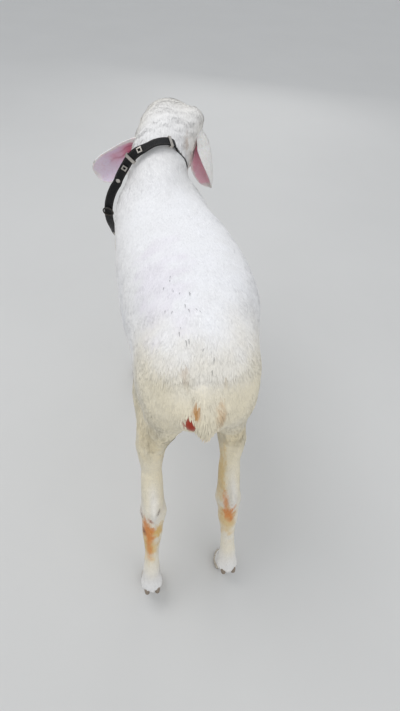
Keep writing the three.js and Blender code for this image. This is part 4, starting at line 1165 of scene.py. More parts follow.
@dataclass
class BodyCoat:
    """The coat over the skin, in pieces by the part of the body."""

    marks: Landmarks
    markings: Markings
    coat: Coat
    strap: Array

    STRAP_HALF = 0.0105
    TUFT_RISE = 0.15

    STYLE = {
        Region.TRUNK: Lock(11.0, 2.7, 0.34, 108000, 0.10, 0.05),
        Region.NECK: Lock(11.5, 2.8, 0.7, 118000, 0.20, 0.16),
        Region.HEAD: Lock(6.0, 1.9, 0.5, 170000, 0.14, 0.05),
        Region.TAIL: Lock(17.0, 2.3, 1.6, 260000, 0.09, 0.05),
        Region.THIGH: Lock(9.0, 2.7, 0.75, 130000, 0.34, 0.30),
        Region.ARM: Lock(9.0, 2.6, 0.7, 120000, 0.22, 0.14),
        Region.SHANK: Lock(7.0, 1.9, 0.5, 180000, 0.12, 0.04),
        Region.FOOT: Lock(6.5, 1.8, 0.5, 210000, 0.14, 0.04),
    }

    def lie(self, points: Array, normals: Array, shares: Array) -> Array:
        """Way that the hair runs over the body.

        Args:
            points: Places in the row frame.
            normals: Outward directions there.
            shares: How much each place belongs to each region.

        Returns:
            One direction for each place, not yet laid on the skin.
        """
        y, z = points[:, 1], points[:, 2]
        rear = ramp(y, -0.24, -0.36)
        under = ramp(z, 0.50, 0.42)
        side = np.abs(normals[:, 0])
        down = -(0.30 + 0.55 * side) * (1 - under) - 1.3 * rear
        trunk = np.stack([0.0 * y, -1.0 + 0.6 * rear, down], axis=1)
        trunk = trunk + 4.0 * rear[:, None] * (self.marks.tail_root - points) * [1.0, 0.0, 0.0]
        neck, head = [0.0, -0.80, -0.60], self.marks.axes @ np.array([0.0, -1.0, -0.12])
        tail, thigh, leg = [0.0, -0.25, -1.0], [0.0, -0.45, -1.0], [0.0, -0.30, -1.0]
        fixed = [np.tile(way, (len(points), 1)) for way in (neck, head, tail, thigh, thigh, leg, leg)]
        return unit((np.stack([trunk, *fixed], axis=1) * shares[:, :, None]).sum(axis=1))

    def style(self, points: Array, shares: Array) -> Array:
        """Numbers of the locks at each place.

        Args:
            points: Places in the row frame.
            shares: How much each place belongs to each region.

        Returns:
            One row of lock numbers for each place.
        """
        style = shares @ np.array([astuple(self.STYLE[region]) for region in Region])
        local = self.marks.on_head(points)
        face = ramp(local[:, 1], 40.0, 190.0) * ramp(local[:, 2], -150.0, -110.0)
        style[:, [LENGTH, WIDTH, LIFT]] *= 1.0 - face[:, None] * [0.42, 0.30, 0.55]
        poll = ramp(norm((local - [0.0, -10.0, 44.0]) / [52.0, 62.0, 46.0], axis=1), 1.0, 0.4)
        style[:, [LENGTH, WIDTH, LIFT, JITTER, CURL]] += poll[:, None] * [4.0, 0.8, 0.25, 0.16, 0.16]
        centre = self.marks.tail_root + [0.0, -0.03, 0.01]
        dock = norm((points - centre) / [0.085, 0.10, 0.085], axis=1)
        dock = ramp(dock, 1.0, 0.3) * (1.0 - shares[:, Region.TAIL.value])
        style[:, [LENGTH, JITTER]] += dock[:, None] * [2.0, 0.03]
        style[:, DENSITY] *= 1.0 + 0.15 * dock
        # A band over the loin and rump, in patches near the top, where some locks are painted dark as the
        # shadow of partings.
        centre = -0.03 + 0.15 * np.clip(-0.11 - points[:, 1], 0.0, 0.3)
        band = np.hypot((points[:, 0] - centre) / 0.040, (points[:, 1] + 0.25) / 0.16)
        patch = ramp(lattice_noise(points, 0.022, 61), -0.1, 0.6)
        top = ramp(points[:, 2], 0.60, 0.63)
        style[:, PARTING_SHADE_SHARE] = 0.040 * ramp(band, 1.0, 0.35) * patch * top * shares[:, Region.TRUNK.value]
        rough = ramp(points[:, 1], -0.06, -0.22) * shares[:, Region.TRUNK.value]
        style[:, JITTER] += 0.04 * rough
        return style

    def beside_strap(self, points: Array) -> tuple[Array, Array, Array]:
        """Where places lie beside the strap.

        Args:
            points: Places in the row frame.

        Returns:
            How far ahead of its middle line each is, its distance from that line, and, from 0 to 1,
            how far the strap is sunk in the coat there.
        """
        middle = self.strap[:, :2].mean(axis=1)
        ahead = unit(self.strap[:, 1] - self.strap[:, 0])
        ahead = ahead * np.sign(ahead[:, 1:2])
        gap = norm(points[:, None] - middle[None], axis=2)
        nearest = gap.argmin(axis=1)
        offset = ((points - middle[nearest]) * ahead[nearest]).sum(axis=1)
        return offset, gap[np.arange(len(points)), nearest], Strap.sunk(middle[nearest])

    def build(self, skin: Skin, shares: Array) -> list[Piece]:
        """Grows every piece of the coat.

        Args:
            skin: The finished skin.
            shares: How much each vertex of it belongs to each region.

        Returns:
            The pieces.
        """
        bare = self.markings.bare(skin.points)
        sole = ramp(skin.points[:, 2], 0.026, 0.034)
        offset, gap, sunk = self.beside_strap(skin.points)
        under = (np.abs(offset) < self.STRAP_HALF) & (gap < 0.016)
        bare = np.maximum(bare, under * (1.0 - ramp(sunk, 0.5, 0.9)))
        over = sunk * ramp(offset, self.STRAP_HALF - 0.001, self.STRAP_HALF) * ramp(offset, 0.030, 0.018)
        over = over * (gap < 0.04)
        style = self.style(skin.points, shares)
        style[:, [LENGTH, LIFT]] += over[:, None] * [12.0, 1.6]
        style[:, DENSITY] *= 1.0 + 0.8 * over
        normals = skin.normals.copy()
        end = shares[:, Region.TAIL.value] > 0.5
        normals[end, 1] -= 0.25
        normals[end, 2] = np.maximum(normals[end, 2], self.TUFT_RISE)
        surface = Surface(
            points=skin.points,
            normals=unit(normals),
            triangles=skin.triangles,
            lie=self.lie(skin.points, skin.normals, shares),
            style=style,
            colour=self.markings.coat(skin.points),
            keep=np.clip(1.0 - 1.4 * bare, 0.0, 1.0) * sole,
        )
        roots = self.coat.roots(surface, np.random.default_rng(self.coat.seed))
        pieces = []
        for name, (member, axis, rings) in self.groups(roots["points"]).items():
            part = {key: values[member] for key, values in roots.items()}
            chart = self.coat.unwrap(part["points"], np.array(axis))
            pieces.append(self.coat.grow(f"coat_{name}", part, rings, chart))
        return pieces

    def groups(self, points: Array) -> dict[str, tuple[Array, tuple[float, float, float], int]]:
        """Splits roots into pieces.

        Args:
            points: Places of the roots.

        Returns:
            For each piece its members, the direction it runs in and the rings of its locks.
        """
        x, y, z = points.T
        head = self.marks.in_head(points, -12.0)
        fold = np.array([0.0, 0.77, 0.64])
        neck = ~head & ((points - [0.0, 0.175, 0.612]) @ fold > 0.0)
        root, tip = self.marks.tail_root, self.marks.tail_tip
        tail = (np.abs(x - root[0]) < 0.024) & (y < min(root[1] - 0.045, -0.388))
        tail &= (z < root[2] - 0.004) & (z > tip[2] - 0.01)
        leg = (z < 0.40) & ~tail
        trunk = ~(head | neck | tail | leg)
        left = x < 0.005
        up, ahead = (0.0, 0.0, 1.0), (0.0, 1.0, 0.0)
        result = {
            "head": (head, tuple(self.marks.axes[:, 1]), 2),
            "neck": (neck, tuple(fold), 3),
            "tail": (tail, up, 3),
        }
        for word, start, end in (
            ("rump", -1.0, -0.26), ("loin", -0.26, -0.08), ("rib", -0.08, 0.08), ("chest", 0.08, 1.0)
        ):
            band = (y >= start) & (y < end)
            result[f"{word}_left"] = (trunk & left & band, ahead, 2)
            result[f"{word}_right"] = (trunk & ~left & band, ahead, 2)
        for front, word in ((False, "hind_leg"), (True, "fore_leg")):
            for side in Side:
                member = leg & ((y > -0.08) == front) & (left == (side is Side.LEFT))
                result[f"{word}_{side.label}"] = (member, up, 2)
        return result


# ---- ears and eyes


@dataclass
class Ear:
    """One hanging ear: a curled leaf with a pink hollow, a hairy back and a soft rim."""

    marks: Landmarks
    side: Side
    coat: Coat
    length: float = 0.150
    width: float = 0.079
    thickness: float = 0.0034
    filled: float = 0.28
    steps: int = 90
    half: int = 22

    ROOT = {Side.LEFT: (-47.0, 2.0, -46.0), Side.RIGHT: (50.0, 7.0, -15.0)}
    BEND = {Side.LEFT: (-0.052, -0.008, -0.012), Side.RIGHT: (0.050, -0.040, 0.012)}
    WAY = {Side.LEFT: (-0.85, 0.09, -0.51), Side.RIGHT: (0.34, -0.09, -0.95)}
    HOLLOW = {
        Side.LEFT: ((-0.2, -0.95, 0.2), (-0.26, -0.95, 0.1), (-0.26, -0.95, 0.08)),
        Side.RIGHT: ((-0.1, -0.1, -1.0), (-0.96, 0.12, 0.08), (-0.7, -0.85, 0.13)),
    }
    CURL = {Side.LEFT: (1.1, 0.95, 0.75), Side.RIGHT: (1.1, 1.35, 1.0)}
    CREASE = {Side.LEFT: 1.2, Side.RIGHT: 3.0}
    FLARE = {Side.LEFT: (1.1, 0.0), Side.RIGHT: (0.0, 0.38)}

    @staticmethod
    def staged(t: Array, values: Array) -> Array:
        """Values along the ear from those at its root, middle and tip.

        Args:
            t: Place along the ear, one column.
            values: Three rows.

        Returns:
            One row for each place.
        """
        late = t >= 0.5
        share = 2.0 * t - late
        first, second = np.where(late, values[1], values[0]), np.where(late, values[2], values[1])
        return first + (second - first) * share

    def slopes(self, t: Array) -> tuple[Array, Array, Array, Array]:
        """The curled section at places along the ear, from its middle to one edge.

        Args:
            t: Place along the ear, one column.

        Returns:
            Share of the way to the edge, and at each the place across, the rise and the slant.
        """
        crease = self.CREASE[self.side]
        curl = self.staged(t, np.array(self.CURL[self.side])[:, None])
        u = 1.0 - (1.0 - np.linspace(0.0, 1.0, self.half + 1)) ** 1.35
        between = 0.5 * (u[1:] + u[:-1])
        slant = curl * np.tanh(crease * between) / np.tanh(crease)
        zero = np.zeros((len(t), 1))
        across = np.concatenate([zero, np.cumsum(np.cos(slant) * np.diff(u), axis=1)], axis=1)
        rise = np.concatenate([zero, np.cumsum(np.sin(slant) * np.diff(u), axis=1)], axis=1)
        return u, across, rise, curl * np.tanh(crease * u) / np.tanh(crease)

    def leaf(self) -> tuple[Array, Array, Array, Array]:
        """Points of the ear as rings, and what each says.

        Returns:
            Points, place along the ear, place across it from -1 to 1, and 1 in the hollow or -1 behind.
        """
        start = self.marks.from_head(self.ROOT[self.side])
        bend = start + self.BEND[self.side]
        end = start + unit(np.array(self.WAY[self.side])) * self.length
        t = 1.0 - (1.0 - np.linspace(0.0, 1.0, self.steps + 1)[:, None]) ** 1.5
        middle = (1 - t) ** 2 * start + 2 * t * (1 - t) * bend + t * t * end
        tangent = unit(2 * (1 - t) * (bend - start) + 2 * t * (end - bend))
        facing = self.staged(t, np.array(self.HOLLOW[self.side]))
        normal = unit(facing - tangent * (facing * tangent).sum(axis=1, keepdims=True))
        side = np.cross(tangent, normal)
        u, across, rise, slant = self.slopes(t)

        def mirrored(values: Array, sign: float) -> Array:
            """The values of both halves from edge to edge in the hollow, and back behind it."""
            face = np.concatenate([sign * values[:, :0:-1], values], axis=1)
            return np.concatenate([face, face[:, ::-1]], axis=1)

        turn = mirrored(u[None, :] * np.ones_like(t), -1.0)
        across, rise = mirrored(across, -1.0), mirrored(rise, 1.0)
        lean, upright = mirrored(-np.sin(slant), -1.0), mirrored(np.cos(slant), 1.0)
        hollow = np.ones_like(turn)
        hollow[:, turn.shape[1] // 2 :] = -1.0
        tip = np.clip((t - 0.68) / 0.32, 0.0, 1.0)
        broad = (0.42 + 0.58 * ramp(t, 0.0, 0.75)) * np.sqrt(1.0 - tip**2.3)
        width = np.maximum(0.5 * self.width * broad, 0.003) * (1.0 + self.edge(t, turn))
        thick = 0.5 * self.thickness * (1.7 - 0.7 * np.minimum(3 * t, 1.0))
        fill = np.where(hollow > 0, np.maximum(1.0 - t / self.filled, 0.0), 0.0)
        folds = 0.0011 * np.cos(8.5 * turn + 0.6) * ramp(t, 0.72, 0.1) * ramp(t, 0.0, 0.16) * (hollow > 0)
        lines = 0.0004 * np.cos(21.0 * turn + 5.0 * t) * ramp(t, 0.95, 0.4)
        folds = folds + lines * (1.0 - np.abs(turn) ** 4)
        ripple = 0.0012 * np.sin(9.0 * t + 1.7 * turn) * np.abs(turn) ** 3
        ripple = ripple * ramp(t, 0.1, 0.4) * ramp(t, 1.0, 0.8)
        rim = 0.0006 * bell(np.abs(turn) - 0.93, 0.07)
        depth = hollow * (thick * (1.0 - 0.45 * turn**2) + rim) + folds + ripple
        aside = width * across + depth * lean * (1.0 - fill)
        height = width * (rise + (rise[:, :1] - rise) * fill) + depth * (upright + (1.0 - upright) * fill)
        points = middle[:, None] + side[:, None] * aside[..., None] + normal[:, None] * height[..., None]
        return points, t * np.ones_like(aside), turn, hollow

    def edge(self, t: Array, turn: Array) -> Array:
        """Share by which the half width changes: one half flares, and the outline is a little uneven.

        Args:
            t: Place along the ear.
            turn: Place across it.

        Returns:
            One number for each place.
        """
        at_root, past_middle = self.FLARE[self.side]
        flare = at_root * bell(t, 0.36) + past_middle * ramp(t, 0.15, 0.5)
        return flare * (turn > 0) + 0.012 * np.sin(11.0 * t + 2.0 * np.sign(turn)) * ramp(t, 0.1, 0.3)

    def colour(self, t: Array, turn: Array, hollow: Array, points: Array) -> Array:
        """Colour of the ear's skin: pink in the hollow, white behind and on the rim.

        Args:
            t: Place along the ear.
            turn: Place across it.
            hollow: 1 in the hollow, -1 behind.
            points: Places in the row frame.

        Returns:
            Linear red, green and blue.
        """
        along, out = t.ravel(), np.abs(turn).ravel()
        blotch = lattice_noise(points.reshape(-1, 3), 0.016, 41)
        fine = lattice_noise(points.reshape(-1, 3), 0.005, 42)
        lilac, pink, canal = tint("ead8ec"), tint("e27f98"), tint("93323f")
        if self.side is Side.RIGHT:
            lilac, pink = tint("f0b0c4"), tint("dd5f82")
        across = turn.ravel() + 0.10 * blotch
        flush = ramp(along + 0.08 * blotch, 0.86, 0.30) * bell(across - 0.25, 0.42)
        flush = np.maximum(flush, ramp(along + 0.06 * blotch, 0.46, 0.24))
        inner = lilac + (pink - lilac) * flush[:, None]
        dark = ramp(along + 0.05 * blotch, 0.34, 0.12) * ramp(out, 0.85, 0.2)
        inner += (canal - inner) * (0.85 * dark)[:, None]
        veins = (0.10, 0.05, 0.92, 0.9), (0.42, 0.045, 0.72, 0.8), (-0.25, 0.055, 0.55, 0.6)
        for seat, wide, reach, deep in veins:
            line = bell(across - seat - 0.10 * along, wide)
            line = deep * (line * ramp(along, reach, 0.35 * reach))
            inner += (tint("b83e66") - inner) * line[:, None]
        down = ramp(along + 0.12 * fine, 0.55, 1.0) * 0.30
        broad = 0.30 * bell(along, 0.45) * (turn.ravel() > 0)
        rim = ramp(out + broad + 0.05 * blotch + 0.04 * fine, 0.82, 0.98)
        rim = np.maximum(rim, ramp(along + 0.02 * blotch, 0.93, 0.985))
        inner += (tint("f3ecec") - inner) * np.maximum(rim, down)[:, None]
        back = tint("f3f1ef") * (1.0 + 0.02 * blotch)[:, None]
        return np.where((hollow.ravel() > 0)[:, None], inner, back)

    def build(self) -> tuple[Piece, Piece]:
        """Makes the ear and the hair on it.

        Returns:
            The ear and its coat.
        """
        points, t, turn, hollow = self.leaf()
        flat = np.concatenate([points.reshape(-1, 3), [points[k].mean(axis=0) for k in (0, -1)]])
        colour = self.colour(t, turn, hollow, points)
        colour = np.concatenate([colour, tint("f1eee8")[None].repeat(2, 0)])
        ear = Solid(flat, capped(points), colour).to_object(f"ear_skin_{self.side.label}")
        return ear, self.hair(ear, flat, t, turn, hollow)

    def hair(
        self, ear: Piece, flat: Array, t: Array, turn: Array, hollow: Array
    ) -> Piece:
        """Short locks on the back and the root of the ear.

        Args:
            ear: The ear's own piece.
            flat: Its points, the two ends last.
            t: Place along the ear of each of the others.
            turn: Place across it.
            hollow: 1 in the hollow, -1 behind.

        Returns:
            The coat of the ear.
        """
        rings = flat[:-2].reshape(*t.shape, 3)
        along = np.append(t.ravel(), [0.0, 1.0])
        across = np.append(np.abs(turn).ravel(), [0.0, 0.0])
        back = np.append(hollow.ravel() < 0, [False, False])
        rim = ramp(across, 0.80, 0.97) * (along > 0.12)
        keep = np.where(back, ramp(across, 0.985, 0.93), 0.5 * ramp(along, 0.20, 0.05))
        lie = np.gradient(rings, axis=0).reshape(-1, 3)
        aside = unit((rings - rings.mean(axis=1, keepdims=True)).reshape(-1, 3))
        lie, aside = (np.concatenate([ways, ways[-2:]]) for ways in (lie, aside))
        lie = unit(lie) + 0.2 * aside * rim[:, None]
        style = np.tile(astuple(Lock(6.0, 2.2, 0.35, 150000, 0.16, 0.06)), (len(flat), 1))
        white = tint("f2efe9") * np.ones((len(flat), 1))
        surface = Surface(flat, normal_array(ear.data), capped(rings), lie, style, white, keep)
        roots = self.coat.roots(surface, np.random.default_rng(self.coat.seed + 5 + self.side.value))
        chart = self.coat.unwrap(roots["points"], np.array(self.WAY[self.side]))
        return self.coat.grow(f"coat_ear_{self.side.label}", roots, 2, chart)


@dataclass
class Eye:
    """One eyeball with a clear bulge over a level slot of a pupil."""

    marks: Landmarks
    side: Side
    rings: int = 48
    sides: int = 64

    def build(self) -> Piece:
        """Makes the eyeball, with each point's place on it kept for its finish.

        Returns:
            The eyeball.
        """
        axes = eye_axes(self.marks, self.side)
        turn = np.linspace(0, 2 * math.pi, self.sides, endpoint=False) * np.sign(np.linalg.det(axes))
        lean = np.linspace(0.012, math.pi - 0.012, self.rings)[:, None]
        bulge = 1.0 + 0.045 * bell(lean, 0.42)
        upright = np.cos(lean) * np.ones(self.sides)
        local = np.stack([np.sin(lean) * np.cos(turn), np.sin(lean) * np.sin(turn), upright], axis=-1)
        shaped = local * (0.985 * bulge)[..., None]
        poles = np.array([[0.0, 0.0, 1.03], [0.0, 0.0, -0.985]])
        flat = np.concatenate([shaped.reshape(-1, 3), poles]) * self.marks.eye_radius
        solid = Solid(flat @ axes.T + self.marks.eyes[self.side], capped(shaped))
        solid.extra["eye_place"] = np.concatenate([local.reshape(-1, 3), poles])
        return solid.to_object(f"eyeball_{self.side.label}")


# ---- hooves


@dataclass
class Hoof:
    """A claw or dewclaw of horn, rounded from its CAD node, with growth rings and a flat sole."""

    name: str
    node: Piece
    voxel: float = 0.0013
    rings: float = 0.0034

    def build(self) -> Piece:
        """Makes the piece.

        Returns:
            The horn.
        """
        points, faces, _ = merged_points(self.node)
        floor = points[:, 2].min()
        piece = remeshed(f"horn_{self.name}", points, faces, self.voxel)
        mesh = piece.data
        places, edges = point_array(mesh), edge_array(mesh)
        for _ in range(8):
            places = spread(places, edges, 1, 0.6)
            places = spread(places, edges, 1, -0.56)
        put_points(mesh, places)
        normals = normal_array(mesh)
        groove = np.sin((places[:, 2] + 0.35 * places[:, 1]) * 2 * math.pi / self.rings)
        wall = ramp(places[:, 2], floor + 0.003, floor + 0.006)
        rough = 0.00010 * groove + 0.00014 * lattice_noise(places, 0.004, 51)
        places = places + normals * (rough * wall - 0.0003)[:, None]
        horn, edge = tint("8d7f70"), tint("453a32")
        if "dewclaw" not in self.name:
            places[places[:, 2] < floor + 0.0012, 2] = floor
            horn, edge = tint("c2b9a8"), tint("4a4038")
        put_points(mesh, places)
        mesh.shade_smooth()
        dark = 0.75 * ramp(places[:, 2], floor + 0.010, floor + 0.001)
        dark = np.clip(dark + 0.35 * lattice_noise(places, 0.007, 52), 0.0, 1.0)
        colour = (horn + (edge - horn) * dark[:, None]) * (1.0 + 0.10 * groove)[:, None]
        paint(mesh, np.clip(colour, 0.0, 1.0))
        return piece


# ---- collar


@dataclass
class Strap:
    """The leather strap: a rounded section carried round the loop of its CAD node."""

    node: Piece
    width: float = 0.020
    thickness: float = 0.003
    between: int = 6

    SINK = 0.0054

    def stations(self) -> Array:
        """The four corners of each flat section of the CAD strap, in order round the loop.

        Returns:
            An array of sections by corners by coordinates; the corners run inner back, inner front,
            outer front, outer back.
        """
        points, faces, _ = merged_points(self.node)
        middle = points.mean(axis=0)
        _, _, axes = np.linalg.svd(points - middle)
        flat = (points - middle) @ axes.T
        order = np.argsort(np.arctan2(flat[:, 1], flat[:, 0]))
        facing = {}
        for a, b in {tuple(sorted((a, b))) for f in faces for a, b in zip(f, f[1:] + f[:1])}:
            if abs(norm(points[a] - points[b]) - self.thickness) < 0.0002:
                facing[a], facing[b] = b, a
        sections, used = [], set()
        for a in order:
            if a in used or a not in facing:
                continue
            d = facing[a]
            rest = [b for b in facing if b not in used and b not in (a, d) and facing[b] not in used]
            gap = norm(points[rest] - points[a], axis=1) - self.width
            other = norm(points[[facing[b] for b in rest]] - points[d], axis=1) - self.width
            lean = np.abs((points[rest] - points[a]) @ (points[d] - points[a]))
            lean = 0.004 * (lean / (self.width * self.thickness))
            b = rest[int(np.argmin(np.abs(gap) + np.abs(other) + lean))]
            c = facing[b]
            used |= {a, b, c, d}
            reach = norm(points[[a, b, c, d]] - middle, axis=1)
            if reach[:2].sum() > reach[2:].sum():
                a, b, c, d = d, c, b, a
            if (points[b] - points[a]) @ axes[2] < 0:
                a, b, c, d = b, a, d, c
            sections.append(points[[a, b, c, d]])
        return np.array(sections)

    @staticmethod
    def sunk(places: Array) -> Array:
        """How far, from 0 to 1, the strap is sunk in the wool at places along it."""
        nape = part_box("collar_slide_2")[1].x
        return ramp(places[:, 0], nape, nape + 0.012) * ramp(places[:, 2], 0.635, 0.66)

    def build(self) -> Piece:
        """Makes the strap.

        Returns:
            The piece, with the place along and across the strap kept for its stitches.
        """
        corners = self.stations()
        count = len(corners)
        t = np.arange(count * self.between) / self.between
        base = t.astype(int)
        part = (t - base)[:, None, None]
        around = [corners[(base + k) % count] for k in (-1, 0, 1, 2)]
        smooth = 0.5 * (
            2 * around[1]
            + (around[2] - around[0]) * part
            + (2 * around[0] - 5 * around[1] + 4 * around[2] - around[3]) * part**2
            + (3 * around[1] - around[0] - 3 * around[2] + around[3]) * part**3
        )
        inner_back, inner_front, _, outer_back = (smooth[:, k] for k in range(4))
        across = unit(inner_front - inner_back)
        out = unit(outer_back - inner_back)
        half = 0.5 * norm(inner_front - inner_back, axis=1, keepdims=True) - 0.0002
        thick = norm(outer_back - inner_back, axis=1, keepdims=True)
        middle = (inner_back + inner_front) / 2
        middle = middle - out * (self.SINK * self.sunk(middle))[:, None]
        section = self.section()
        rings = np.stack([middle + across * (half * a) + out * (thick * b) for a, b in section], axis=1)
        flat = rings.reshape(-1, 3)
        length = norm(np.roll(middle, -1, axis=0) - middle, axis=1)
        along = np.concatenate([[0.0], np.cumsum(length)[:-1]])
        aside, level = np.tile(section.T * [[0.5 * self.width], [1.0]], len(rings))
        quads = loft(rings, closed=True)
        a, b, c = (flat[quads[:, k]] - flat.mean(axis=0) for k in range(3))
        volume = (np.cross(b, c) * a).sum()
        solid = Solid(flat, quads if volume > 0 else quads[:, ::-1])
        solid.extra["strap_place"] = np.stack([np.repeat(along, len(section)), aside, level], axis=1)
        return solid.to_object("strap")

    def section(self) -> Array:
        """Places round the strap's rounded section.

        Returns:
            Rows of half widths across and thicknesses out.
        """
        across, out = 0.09, 0.28
        arcs = []
        for quarter, (side, level) in enumerate(((1, 0), (1, 1), (-1, 1), (-1, 0))):
            angle = math.pi / 2 * (quarter - 1 + np.linspace(0.0, 1.0, 4))
            middle = (side * (1 - across), level + (1 - 2 * level) * out)
            arcs.append(np.stack([across * np.cos(angle), out * np.sin(angle)], axis=1) + middle)
        step = np.linspace(0.06, 0.94, 8)[:, None]
        outer = arcs[1][-1] + (arcs[2][0] - arcs[1][-1]) * step
        inner = arcs[3][-1] + (arcs[0][0] - arcs[3][-1]) * step
        return np.concatenate([arcs[0], arcs[1], outer, arcs[2], arcs[3], inner])


@dataclass
class Fitting:
    """A metal fitting of the collar, softened along its edges from its CAD node."""

    name: str
    node: Piece
    bevel: float = 0.0005

    def build(self) -> Piece:
        """Makes the piece.

        Returns:
            The fitting.
        """
        points, faces, _ = merged_points(self.node)
        mesh = bpy.data.meshes.new(f"fitting_{self.name}")
        mesh.from_pydata(points.tolist(), [], faces)
        with opened(mesh) as work:
            bmesh.ops.dissolve_limit(work, angle_limit=0.02, verts=work.verts, edges=work.edges)
            sharp = [e for e in work.edges if len(e.link_faces) == 2 and e.calc_face_angle(0.0) > 0.5]
            bmesh.ops.bevel(
                work, geom=sharp, offset=self.bevel, offset_type="OFFSET", segments=2, profile=0.6,
                affect="EDGES", clamp_overlap=True,
            )
            bmesh.ops.triangulate(work, faces=work.faces)
        mesh.shade_smooth()
        mesh.set_sharp_from_angle(angle=0.7)
        return link(f"fitting_{self.name}", mesh)


# ---- finishes


@dataclass
class Wiring:
    """Adds and joins the nodes of one material or node group."""

    tree: NodeTree

    def add(self, kind: str, **settings: object) -> bpy.types.Node:
        """Adds a node.

        Args:
            kind: Its type without the "ShaderNode" in front.
            settings: Properties of the node to set.

        Returns:
            The node.
        """
        node = self.tree.nodes.new("ShaderNode" + kind)
        for name, value in settings.items():
            setattr(node, name, value)
        return node

    def feed(self, socket: Socket, value: object) -> None:
        """Sets an input to a number or colour, or joins an output to it.

        Args:
            socket: Input to feed.
            value: Number, colour or output.
        """
        if isinstance(value, Socket):
            self.tree.links.new(value, socket)
        else:
            socket.default_value = value

    def give(self, node: bpy.types.Node, values: dict[str, object]) -> Outputs:
        """Feeds inputs of a node.

        Args:
            node: Node to feed.
            values: Numbers, colours or outputs by the input's name.

        Returns:
            The node's outputs.
        """
        for name, value in values.items():
            self.feed(node.inputs[name], value)
        return node.outputs

    def math(self, operation: str, *values: object) -> Socket:
        """Does a sum on numbers or outputs.

        Args:
            operation: Name of the sum.
            values: Numbers or outputs.

        Returns:
            The result.
        """
        node = self.add("Math", operation=operation)
        for socket, value in zip(node.inputs, values):
            self.feed(socket, value)
        return node.outputs[0]

    def times(self, first: object, second: object) -> Socket:
        """The product of two numbers or outputs."""
        return self.math("MULTIPLY", first, second)

    def between(self, value: Socket, low: float, high: float) -> Socket:
        """Smooth step from 0 at low to 1 at high."""
        node = self.add("MapRange", interpolation_type="SMOOTHSTEP")
        return self.give(node, {"Value": value, "From Min": low, "From Max": high})["Result"]

    def blend(self, share: object, first: object, second: object, kind: str = "MIX") -> Socket:
        """Mixes two colours.

        Args:
            share: How far towards the second.
            first: Colour or output.
            second: Colour or output.
            kind: Way of mixing.

        Returns:
            The mixed colour.
        """
        node = self.add("Mix", data_type="RGBA", blend_type=kind)
        for number, value in ((0, share), (6, first), (7, second)):
            self.feed(node.inputs[number], value)
        return node.outputs[2]

    def noise(self, place: Socket, scale: object, detail: float = 3.0, rough: float = 0.55) -> Socket:
        """Cloudy noise between 0 and 1 at a place."""
        values = {"Vector": place, "Scale": scale, "Detail": detail, "Roughness": rough}
        return self.give(self.add("TexNoise"), values)["Fac"]

    def stretched(self, vector: Socket, scale: tuple[float, float, float]) -> Socket:
        """A place scaled along each axis."""
        return self.give(self.add("Mapping"), {"Vector": vector, "Scale": scale})["Vector"]

    def bump(self, height: Socket, strength: float, depth: float) -> Socket:
        """A normal bent by a height, whose whole range is depth metres."""
        values = {"Strength": strength, "Distance": depth, "Height": height}
        return self.give(self.add("Bump"), values)["Normal"]

    def place(self) -> Socket:
        """Place on the object, in metres."""
        return self.add("TexCoord").outputs["Object"]

    def kept(self, name: str) -> Socket:
        """A vector kept at each point of the mesh."""
        return self.add("Attribute", attribute_name=name).outputs["Vector"]

    def parts(self, vector: Socket) -> Outputs:
        """The parts of a vector, by the names X, Y and Z."""
        return self.give(self.add("SeparateXYZ"), {"Vector": vector})

    def painted(self) -> Socket:
        """The colour painted on the mesh."""
        return self.add("Attribute", attribute_name=COLOUR).outputs["Color"]

    def shaded(self, colour: Socket, shade: Socket) -> Socket:
        """A colour times a shade."""
        return self.blend(1.0, colour, shade, "MULTIPLY")


class Effect(Enum):
    """Shared effects, each a node group."""

    HAIR = "hair_grain"
    HIDE = "short_hair_on_skin"
    WEAR = "wear_and_dirt"
    GRAIN = "pebbled_grain"

    def tree(self) -> NodeTree:
        """The effect's node group, made the first time that it is asked for.

        Returns:
            The group.
        """
        found = bpy.data.node_groups.get(self.value)
        if found:
            return found
        group = bpy.data.node_groups.new(self.value, "ShaderNodeTree")
        makers = {
            Effect.HAIR: hair_grain,
            Effect.HIDE: short_hair,
            Effect.WEAR: wear_and_dirt,
            Effect.GRAIN: pebbled_grain,
        }
        makers[self](group)
        return group


def sockets(group: NodeTree, outputs: tuple[str, str], **inputs: float) -> tuple:
    """Gives a group one vector input, its numbers in and its numbers out.

    Args:
        group: Node group to set up.
        outputs: Names of its outputs.
        inputs: Default of each number input, by name.

    Returns:
        The wiring, the inputs' sockets by name and the node that takes the outputs.
    """
    interface = group.interface
    interface.new_socket(name="Place", in_out="INPUT", socket_type="NodeSocketVector")
    for name, value in inputs.items():
        socket = interface.new_socket(name=name, in_out="INPUT", socket_type="NodeSocketFloat")
        socket.default_value = value
    for name in outputs:
        interface.new_socket(name=name, in_out="OUTPUT", socket_type="NodeSocketFloat")
    start, end = group.nodes.new("NodeGroupInput"), group.nodes.new("NodeGroupOutput")
    return Wiring(group), start.outputs, end


def hair_grain(group: NodeTree) -> None:
    """Fine hairs that run the length of each lock, as a height and a shade.

    Args:
        group: Node group to fill.
    """
    w, given, end = sockets(group, ("Height", "Shade"), Hairs=9.0, Contrast=0.16)
    parts = w.parts(given["Place"])
    lane = w.math("MULTIPLY_ADD", parts["Z"], 61.0, w.times(parts["X"], given["Hairs"]))
    spot = w.give(w.add("CombineXYZ"), {"X": lane, "Y": parts["Y"]})["Vector"]
    streaks = w.noise(spot, 1.0, 2.0, 0.6)
    shade = w.math("MULTIPLY_ADD", w.math("SUBTRACT", streaks, 0.5), given["Contrast"], 1.0)
    w.give(end, {"Height": streaks, "Shade": shade})


